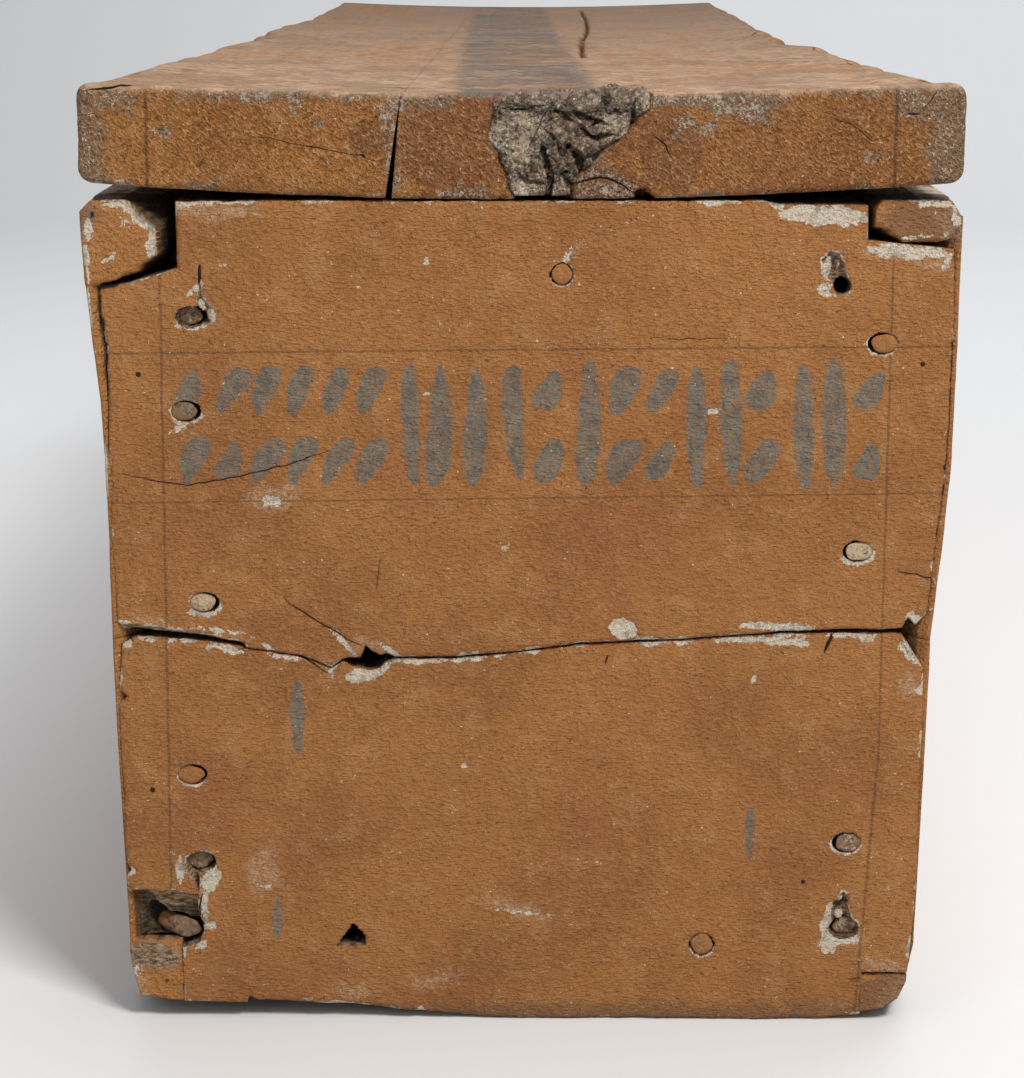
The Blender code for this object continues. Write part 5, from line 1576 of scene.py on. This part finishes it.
def lid_section(side, s, t, wear, gape):
    """Across and height at shares s from outer edge to seam and t up: a rounded edge, cupped faces."""
    thick = lid_over(LID_HALF) - lid_under(LID_HALF)
    corner = LID_CORNER + wear / 4
    short = np.maximum(np.maximum(corner - t * thick, corner - (1 - t) * thick), 0)
    outer = side * (LID_HALF - wear - corner + np.sqrt(corner ** 2 - short ** 2))
    seam = LID_SEAM + LID_SEAM_SLANT * (2 * t - 1) + side * (0.0001 + LID_SEAM_GAPE * gape * (1 - t)) / 2
    x = outer + (seam - outer) * s
    return x, lid_under(x) + (lid_over(x) - lid_under(x)) * t


def mud_sides(share):
    """Where the mud patch's left and right edges lie, by share of the lid's thickness."""
    shares, left, right = zip(*MUD_EDGES)
    return np.interp(share, shares, left), np.interp(share, shares, right)


def mud_inside(x, z):
    """Distance inside the mud patch's outline on the end of the lid."""
    left, right = mud_sides((z - lid_under(x)) / (lid_over(x) - lid_under(x)))
    return np.minimum(x - left, right - x)


def split_near(x, y):
    """Distance across from the long split in the lid's top."""
    behind = y - near_y
    away = np.abs(x - line(TOP_SPLIT, behind) - 0.001 * cloud(0.0, y, 0.0, 0.05, 103))
    return np.where((behind > SPLIT_ENDS[0]) & (behind < SPLIT_ENDS[1]), away, -OUTSIDE)


def lid_end_depth(side, x, z, s, t, near):
    """How far the end grain lies back: soft arrises, a rough face, and pits that slant with the rays.

    The pits are drawn in places turned by 38 degrees, a = (x cos + z sin) / 1.7 and b = z cos - x sin.
    """
    thick = lid_over(x) - lid_under(x)
    outer = LID_HALF - np.abs(x)
    edge = np.minimum(np.minimum(t, 1 - t) * thick, np.where(s < 0.5, outer, 1.0))
    seam_edge = np.where(s > 0.5, np.abs(x - LID_SEAM), 1.0)
    radius = 0.0042 + 0.002 * clouds(x, 0.0, z, 0.02, 2, 91)
    rough = 0.0011 + 0.0009 * clouds(x, 0.0, z, 0.05, 2, 92) + 0.0006 * clouds(x, 0.0, z, 0.007, 3, 93)
    cosine, sine = math.cos(math.radians(38)), math.sin(math.radians(38))
    a, b = (x * cosine + z * sine) / 1.7, z * cosine - x * sine
    holes = 0.0013 * pits(a, b, 0.0056, 0.45, 94) + 0.001 * pits(a, b, 0.0032, 0.6, 95)
    depth = np.maximum(rough, 0) + holes + rounded(edge, radius) + rounded(seam_edge, 0.0016)
    depth = depth + ramp(1 - outer / 0.02) * 0.0012 * (1 + clouds(x, 0.0, z, 0.006, 3, 96))
    if near:
        chip = patch(x, z, LID_CHIPS) + ragged(x, z, 0.0014, 98)
        depth = depth + 0.0008 * ramp(chip, 0.0008)
        off, half = crack_lines(x, z, LID_CRACKS)
        depth = depth + np.minimum(2.4 * half, 0.0018) * ramp(1 - np.abs(off) / 0.0011)
    if near and side > 0:
        depth = depth + 0.017 * ramp(mud_inside(x, z) + ragged(x, z, 0.0012, 97), 0.004)
        depth = depth + 0.013 * ramp(patch(x, z, (LID_NOTCH,)), 0.0012)
    return depth


def lid_plank(side, name):
    """One plank of the lid: its section at each station has the worn edge, the seam and the weathered top."""
    width = LID_HALF + side * -LID_SEAM
    thick = lid_over(LID_HALF) - lid_under(LID_HALF)
    s = steps((0.02, 18), (width - 0.024, round((width - 0.024) / LID_COLUMN)), (0.004, 4))[None, :]
    corner_rise = (LID_CORNER + 0.001) * (1 - np.cos(np.radians(np.linspace(0, 90, 8))))
    middle = np.linspace(corner_rise[-1], thick - corner_rise[-1], 36)[1:-1]
    t = (np.concatenate([corner_rise, middle, thick - corner_rise[::-1]]) / thick)[:, None]
    caps = []
    for end in (-1, 1):
        x, z = lid_section(side, s, t, 0.0, 1.0 if end < 0 else 0.0)
        depth = lid_end_depth(side, x, z, s + 0 * t, t + 0 * s, end < 0)
        caps.append(np.stack([x, along(end, depth), z], -1))
    shares_s, shares_t, y = ring_places(caps, s, t, LID_STATIONS, LID_FINEST)
    behind = y - near_y
    share = behind / (far_y - near_y)
    wear = line(LID_EDGE_WEAR[side], share) * (1 + 0.25 * cloud(0.0, y, 0.0, 0.05, 99))
    x, z = lid_section(side, shares_s[None, :], shares_t[None, :], wear, np.maximum(0, 1 - share * 8))
    relief = 0.0011 * (1 + 0.8 * clouds(x, y * 0.5, 0.0, 0.09, 2, 101))
    relief = relief + 0.0005 * (1 + clouds(x, y * 0.04, 0.0, 0.005, 3, 102))
    relief = relief + 0.004 * ramp(1 - split_near(x, y) / 0.0028)
    if side > 0:
        left = -0.014 + 0.02 * (behind / MUD_REACH) ** 2
        right = 0.07 - 0.022 * (behind / MUD_REACH) ** 2
        under_mud = np.minimum(np.minimum(x - left, right - x), MUD_REACH - behind)
        relief = relief + 0.008 * ramp(under_mud, 0.004)
    z = z - ramp(1 - (lid_over(x) - z) / 0.01) * np.maximum(relief, 0)
    edge_relief = 0.0009 * (1 + clouds(y * 0.2, 0.0, z, 0.01, 3, 104 + side))
    x = x - side * np.where(shares_s == 0, np.maximum(edge_relief, 0), 0)
    points, faces = capped_board(caps[0], np.stack([x, y, z], -1), caps[1])

    x, y, z = points.T
    behind = np.minimum(y - near_y, far_y - y)
    on_end = y < near_y + FACE_DEPTH
    over = ramp(0.0045 - (lid_over(x) - z) + 0.001 * clouds(x, y, 0.0, 0.006, 2, 105), 0.003)
    over = over * ramp(behind - 0.0008, 0.002)
    off, half = crack_lines(x, z, LID_CRACKS)
    nibble = 0.0032 * clouds(x, 0.0, z, 0.01, 3, 106)
    nibble = nibble - np.minimum(z - lid_under(x), np.abs(x - LID_SEAM) * 1.2)
    gesso = np.maximum(patch(x, z, LID_CHIPS) + ragged(x, z, 0.0014, 98), nibble)
    band = np.minimum(x - line(BAND_LEFT, y - near_y), line(BAND_RIGHT, y - near_y) - x)
    stained = 0.8 * ramp(1 - np.maximum(-mud_inside(x, z), 0) / 0.03)
    stained = np.maximum(stained, np.clip(patch(x, z, LID_STAINS) / 0.006, 0, 0.8)) * on_end
    stained = np.maximum(stained, 0.35 * ramp(x - 0.09, 0.03) * on_end)
    # Painted shade: the notch and the long split in the top are coloured dark as well as cut.
    notch = ramp(patch(x, z, (LID_NOTCH,)), 0.0006) * on_end * (side > 0)
    in_split = np.where(np.abs(y) < 0.97, ramp(1 - split_near(x, y) / 0.003), 0.0)
    return make_piece(name, points, faces, {
        "top": over,
        "band": np.where(over > 0, band, OUTSIDE),
        "gesso": np.where(on_end, gesso, OUTSIDE),
        "worn": np.where(on_end, patch(x, z, LID_WORN), OUTSIDE),
        "stain": stained,
        "dirt": np.maximum(notch, in_split),
        "crack": off,
        "crack_width": np.where(on_end, half, 0.0),
    })


LID_TAN = srgb(206, 172, 142)
LID_FAR_SHADE = srgb(132, 117, 106)
LID_BROWN = srgb(146, 116, 92)
LID_ORANGE = srgb(176, 128, 88)
LID_PALE = srgb(196, 172, 148)
LID_SMUDGE = srgb(94, 93, 92)
MAROON = srgb(118, 76, 55)
LID_CREST_HIGHLIGHT = srgb(206, 164, 122)
WORN_GREY = srgb(130, 110, 88)
# The end grain's rays lean down to the right
RAY_LEAN = math.radians(42)
RAY_SCALE = (1 / 430, 1 / 430, 1 / 800)
DIMPLE_SCALE = (1 / 330, 1 / 430, 1 / 560)

lid_finish, tree, shader, place = material("weathered lid")
slanted, leaning = [
    put(tree, "Mapping", {"Vector": place, "Rotation": (0.0, RAY_LEAN, 0.0), "Scale": scale},
        vector_type="TEXTURE").outputs[0]
    for scale in (RAY_SCALE, DIMPLE_SCALE)]
coarse = use(tree, brushed_ground, {"Place": place, "Along": slanted})
dimples = put(tree, "TexVoronoi", {"Vector": leaning, "Scale": 1.0}).outputs["Distance"]
dimples = between(tree, dimples, 0.46, 0.16)
fine = mottle(tree, place, 480.0, 3.0, 0.85)
stains = mottle(tree, place, 105.0, 4.0, 0.75)
worn = worn_patch(tree, stains, "worn", 0.03, 0.003)
gesso = worn_patch(tree, fine, "gesso", 0.02, 0.0006)
left_line, right_line = [
    ruled(tree, place, coarse["Swell"], fine, (1.0, 0.0, offset, 0.0013, 0.4, 1.0))
    for offset in (-0.197, 0.197)]
# The end grain's crests get a painted highlight and its dimples painted shade.
end_colour = coats(
    tree, ochre(tree, place, coarse),
    (mask(tree, "stain"), 0.68, MAROON),
    (worn, 0.75, WORN_GREY),
    (scaled(tree, worn, between(tree, fine, 0.56, 0.66)), 0.7, GROUND_WHITE),
    (coarse["Crests"], 0.6, LID_CREST_HIGHLIGHT),
    (dimples, 0.18, DARK_WOOD_AND_SHADE),
    (left_line, 0.62, INK),
    (right_line, 0.62, INK),
    (coarse["Specks"], 0.6, GROUND_WHITE),
    (gesso, scaled(tree, between(tree, fine, 0.48, 0.56), 0.68, 0.12),
     use(tree, broken_ground, {"Flecks": fine, "Stains": stains})["Colour"]))

weather = mottle(tree, place, (58.0, 76.0, 58.0), 6.0, 0.76)
board_grain = mottle(tree, place, (300.0, 5.0, 300.0), 3.0, 0.6)
stain = mottle(tree, place, (14.0, 12.0, 14.0), 4.0, 0.62)
thinned = between(tree, mottle(tree, place, (22.0, 30.0, 22.0), 4.0, 0.7), 0.62, 0.42)
# The top is painted darker towards the far end as shade, and its small nicks are painted dark as shade.
shaded_nicks = between(tree, mottle(tree, place, (52.0, 60.0, 52.0), 3.0, 0.6), 0.66, 0.69)
shaded_tan = blend(tree, between(tree, axis(tree, place, "Y"), -1.1, 0.9), LID_TAN, LID_FAR_SHADE)
top_colour = coats(
    tree, blend(tree, between(tree, weather, 0.34, 0.6), LID_BROWN, shaded_tan),
    (between(tree, stain, 0.46, 0.62), 0.55, LID_BROWN),
    (between(tree, stain, 0.5, 0.38), 0.35, LID_ORANGE),
    (between(tree, stains, 0.6, 0.72), 0.4, LID_PALE),
    (worn_patch(tree, stains, "band", 0.03, 0.005), scaled(tree, thinned, 0.5, 0.25), LID_SMUDGE),
    (between(tree, board_grain, 0.52, 0.66), 0.16, LID_BROWN),
    (shaded_nicks, 0.7, DARK_WOOD_AND_SHADE))
# Painted shade: cracks, the notch and the split go near black.
cracked = crack_shade_share(tree, -0.0001, 0.0002)
colour = blend(tree, mask(tree, "top"), end_colour, top_colour)
colour = blend(tree, calc(tree, "MAXIMUM", cracked, mask(tree, "dirt")), colour, SHADE_BLACK)
end_height = scaled(tree, cracked, -0.25, scaled(tree, dimples, -0.16, coarse["Height"]))
end_height = scaled(tree, gesso, fine, end_height)
top_height = scaled(tree, board_grain, 0.1, scaled(tree, weather, 0.9))
height = put(tree, "Mix", {0: mask(tree, "top"), 2: end_height, 3: top_height}).outputs[0]
finish_off(tree, shader, colour, height, 0.008, 0.85, 0.12)
for side, side_name in ((-1, "left"), (1, "right")):
    plank = lid_plank(side, "lid_board_" + side_name)
    plank.data.materials.append(lid_finish)
    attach(plank, "root")
    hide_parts("lid_plank_" + side_name)


# The mud patch: mud and plaster with straw pressed into the worn edge of the right lid plank, dried and
# cracked. It fills the broken place from the underside up, and laps over the top arris.
MUD_RUNS = ((0.056, 122), (0.03, 34))
MUD_COLUMNS = 150
MUD_ARRIS = 0.007
MUD_TALL = 0.052
# Height over which the patch's edges run through the whole of MUD_EDGES
MUD_EDGES_TALL = 0.0525
# Rifts and shrinkage cracks, each its half width and its points, and round hollows as ovals
MUD_RIFTS = (
    (0.003, ((0.017, 0.508), (0.0243, 0.5042), (0.0285, 0.5025))),
    (0.0036, ((0.026, 0.508), (0.0331, 0.5049), (0.039, 0.5027), (0.046, 0.5005))),
    (0.0024, ((0.0295, 0.5035), (0.0317, 0.4983), (0.0376, 0.4939), (0.05, 0.4958))),
    (0.0032, ((0.06, 0.513), (0.0593, 0.5071), (0.058, 0.497))),
    (0.0044, ((0.024, 0.491), (0.0305, 0.485), (0.0325, 0.473))),
    (0.0042, ((0.0105, 0.49), (0.014, 0.4793), (0.0155, 0.474), (0.0148, 0.46))),
    (0.001, ((0.0227, 0.5176), (0.0125, 0.5056), (0.0036, 0.4866))),
    (0.0014, ((-0.0085, 0.5085), (0.0036, 0.5091), (0.0135, 0.5102))),
    (0.0026, ((-0.001, 0.476), (0.0036, 0.4706), (0.013, 0.4697))),
    (0.0034, ((0.0225, 0.476), (0.0265, 0.469), (0.0285, 0.464))),
    (0.0012, ((0.0105, 0.5), (0.019, 0.492), (0.021, 0.484))),
    (0.0012, ((0.048, 0.508), (0.053, 0.5065), (0.058, 0.5075))),
)
MUD_HOLES = (
    (0.046, 0.515, 0.0042, 0.0036, 10), (0.0312, 0.48, 0.0026, 0.0046, 0), (0.0148, 0.466, 0.002, 0.0075, 0),
)
# Domed lumps, the pale plaster lobe at the left, and the lumps that are as pale, as ovals
MUD_LUMPS = (
    (0.0508, 0.5005, 0.0075, 0.0052, -10), (0.0445, 0.4932, 0.0052, 0.0034, 20),
    (0.004, 0.468, 0.0105, 0.0072, 0), (0.021, 0.4675, 0.0042, 0.0062, 0), (0.064, 0.512, 0.006, 0.01, -10),
    (0.022, 0.4975, 0.0085, 0.0085, 0), (0.035, 0.512, 0.009, 0.005, 0), (0.02, 0.479, 0.004, 0.005, 0),
)
PLASTER_LOBE = (-0.001, 0.495, 0.0165, 0.015, -10)
PALE_LUMPS = (
    (0.0508, 0.5005, 0.0085, 0.006, -10), (0.0445, 0.4932, 0.006, 0.004, 20),
    (0.002, 0.467, 0.0085, 0.005, 0), (0.066, 0.51, 0.003, 0.008, -10), (0.0225, 0.469, 0.0014, 0.004, 20),
)


def mud_sheet():
    """The patch's skin: share b runs up the end, round the arris and over the top, share a runs across.

    Its lumps are rough noise along the skin's normal with domes added, root of the share inside each oval,
    and its rifts and hollows sink behind it. Returned with the skin: rift offset and half width, and five
    masks.
    """
    a = np.linspace(0, 1, MUD_COLUMNS)[None, :]
    b = steps(*MUD_RUNS)[:, None]
    rise, bend, back = MUD_TALL - MUD_ARRIS, MUD_ARRIS * math.pi / 2, MUD_REACH - MUD_ARRIS
    path = b * (rise + bend + back)
    angle = np.clip((path - rise) / MUD_ARRIS, 0, math.pi / 2)
    up = np.minimum(path, rise) + MUD_ARRIS * np.sin(angle)
    behind = MUD_ARRIS * (1 - np.cos(angle)) + np.maximum(path - rise - bend, 0)
    past = ramp(behind, MUD_REACH) ** 2
    left, right = mud_sides(ramp(up, MUD_EDGES_TALL))
    left = left + 0.022 * past - 0.0008 + 0.0014 * clouds(0.0, path, 0.0, 0.006, 3, 111)
    right = right - 0.024 * past + 0.0008 + 0.003 * clouds(0.2, path, 0.0, 0.007, 3, 111)
    x = left + (right - left) * a
    z = lid_under(x) + 0.0022 + up
    y = near_y + 0.0038 + behind
    lobe = ramp(patch(x, z, (PLASTER_LOBE,)), 0.003) * (behind < 0.004)
    rough = sum(0.74 ** k * cloud(x, y, z, 0.011 / 2 ** k, 112 + k) for k in range(5))
    lumps = 0.0031 * rough * (1 - 0.2 * lobe)
    domes = np.sqrt(ramp(patch(x, z, MUD_LUMPS), 0.005)) * (behind < 0.006)
    off, half = crack_lines(x, z, MUD_RIFTS)
    torn = 0.2 + 2.4 * clouds(x, y, z, 0.004, 3, 119)
    rift = ramp((half - np.abs(off)) / 0.0008 + torn) * ramp(0.9 + 1.2 * clouds(x, y, z, 0.006, 2, 121))
    rift = rift * (half > 0) * np.minimum(half / 0.0012, 1)
    hollow = ramp(patch(x, z, MUD_HOLES) + 0.0008 * clouds(x, 0.0, z, 0.004, 2, 118), 0.0012)
    sunk = np.maximum(rift, hollow) * (behind < 0.007)
    rim = ramp(np.minimum(np.minimum(a, 1 - a) * (right - left), (1 - b) * 0.05 + 0.0015), 0.004)
    proud = lumps + 0.0024 * domes - 0.0048 * sunk - 0.004 * (1 - rim) * (1 - 0.8 * lobe)
    y = np.maximum(y - proud * np.cos(angle), near_y + 0.0002)
    z = np.minimum(z + proud * np.sin(angle), lid_over(x) + 0.004)
    # The low places between lumps, and the sunk rifts and hollows, are kept for painted shade.
    low = ramp(-0.0008 - lumps - 0.0008 * domes, 0.0024)
    pale = np.maximum(0.75 * lobe, ramp(patch(x, z, PALE_LUMPS), 0.0015) * (behind < 0.006))
    lip = ramp(1.4 - np.abs(x - left - 0.0044) / 0.0016 + 0.8 * clouds(x, 0.0, z, 0.004, 2, 120))
    lip = lip * (z > 0.478) * (z < 0.504) * (behind < 0.004)
    grey = ramp(z - 0.508, 0.004) * ramp(0.056 - x, 0.01)
    masks = [np.broadcast_to(m, x.shape).ravel() for m in (off, half, sunk, low, pale, lip, grey)]
    return np.stack([x, y, z], -1), masks


MUD_MIDDLE = np.array([0.028, near_y + 0.022, 0.49])
MUD_BACK = (0.028, near_y + 0.026, 0.488)


def tucked(inward):
    """A ring of the patch's border, pushed into the lid by that share of the way to its middle."""
    return lambda border: border + (MUD_MIDDLE - border) * inward


skin, values = mud_sheet()
points, faces = backed_sheet(skin.reshape(-1, 3), sheet_faces(*skin.shape[:2]), [tucked(0.18), tucked(0.5)],
                             MUD_BACK)
extra = np.zeros(len(points) - len(values[0]))
names = ("crack", "crack_width", "crevice", "low", "pale", "lip", "grey")
masks = {name: np.concatenate([value, extra]) for name, value in zip(names, values)}
mud_patch = make_piece("lid_mud_patch", points, faces, masks)
MUD_BROWN = srgb(198, 166, 138)
MUD_BEIGE = srgb(236, 212, 180)
MUD_WHITE = srgb(244, 232, 212)
MUD_GREY = srgb(186, 168, 148)
MUD_DARK_AND_SHADE = srgb(134, 110, 90)
MUD_HOLE_SHADE = srgb(74, 58, 46)
mud_finish, tree, shader, place = material("dried mud")
crumbs = mottle(tree, place, 300.0, 4.0, 0.75)
blotches = mottle(tree, place, 90.0, 4.0, 0.7)
wobble = put(tree, "TexNoise", {"Vector": place, "Scale": 240.0}).outputs["Color"]
sockets = {0: wobble, 1: (0.005, 0.005, 0.005), 2: place}
bent = put(tree, "VectorMath", sockets, operation="MULTIPLY_ADD").outputs[0]
coarse_crumbs = put(tree, "TexVoronoi", {"Vector": bent, "Scale": 300.0}).outputs
fine_crumbs = put(tree, "TexVoronoi", {"Vector": bent, "Scale": 620.0}).outputs
coarse_tone = axis(tree, coarse_crumbs["Color"], "X")
fine_tone = axis(tree, fine_crumbs["Color"], "X")
chalk = scaled(tree, between(tree, blotches, 0.56, 0.46), 0.55, 0.45)
chalk = scaled(tree, between(tree, crumbs, 0.34, 0.5), chalk)
# Painted shade: the gaps between crumbs and the holes among the fine ones are coloured dark.
gaps = between(tree, coarse_crumbs["Distance"], 0.42, 0.66)
gaps = scaled(tree, gaps, between(tree, mask(tree, "pale"), 0.9, 0.3))
holes = scaled(tree, between(tree, fine_crumbs["Distance"], 0.42, 0.62), between(tree, blotches, 0.4, 0.6))
cracked = crack_shade_share(tree, -0.0002, 0.0003)
crevice = scaled(tree, mask(tree, "crevice"), scaled(tree, between(tree, crumbs, 0.62, 0.46), 0.55, 0.25))
# Painted shade below: low places, gaps, holes, the lowest crumbs, cracks and crevices.
colour = coats(
    tree, blend(tree, between(tree, blotches, 0.46, 0.56), MUD_BROWN, MUD_GREY),
    (mask(tree, "grey"), 1.0, MUD_GREY),
    (between(tree, coarse_tone, 0.6, 0.8), 0.5, MUD_BEIGE),
    (between(tree, fine_tone, 0.3, 0.1), 0.4, MUD_DARK_AND_SHADE),
    (mask(tree, "pale"), chalk, MUD_BEIGE),
    (between(tree, fine_tone, 0.72, 0.84), 0.75, MUD_WHITE),
    (mask(tree, "lip"), 1.0, MUD_WHITE),
    (mask(tree, "low"), 0.75, MUD_DARK_AND_SHADE),
    (gaps, 0.7, MUD_DARK_AND_SHADE),
    (holes, 0.65, MUD_HOLE_SHADE),
    (between(tree, crumbs, 0.42, 0.34), 1.0, MUD_DARK_AND_SHADE),
    (calc(tree, "MAXIMUM", scaled(tree, cracked, 0.7), crevice), 1.0, SHADE_BLACK))
height = scaled(tree, coarse_crumbs["Distance"], -0.3, crumbs)
height = scaled(tree, fine_crumbs["Distance"], -0.26, height)
finish_off(tree, shader, colour, height, 0.0085, 0.9, 0.2)
mud_patch.data.materials.append(mud_finish)
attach(mud_patch, "root")
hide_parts("lid_mud_fill")

size = {"cad_low": list(cad_box[0]), "cad_high": list(cad_box[1])}
size["shown_low"], size["shown_high"] = [list(corner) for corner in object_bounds()]
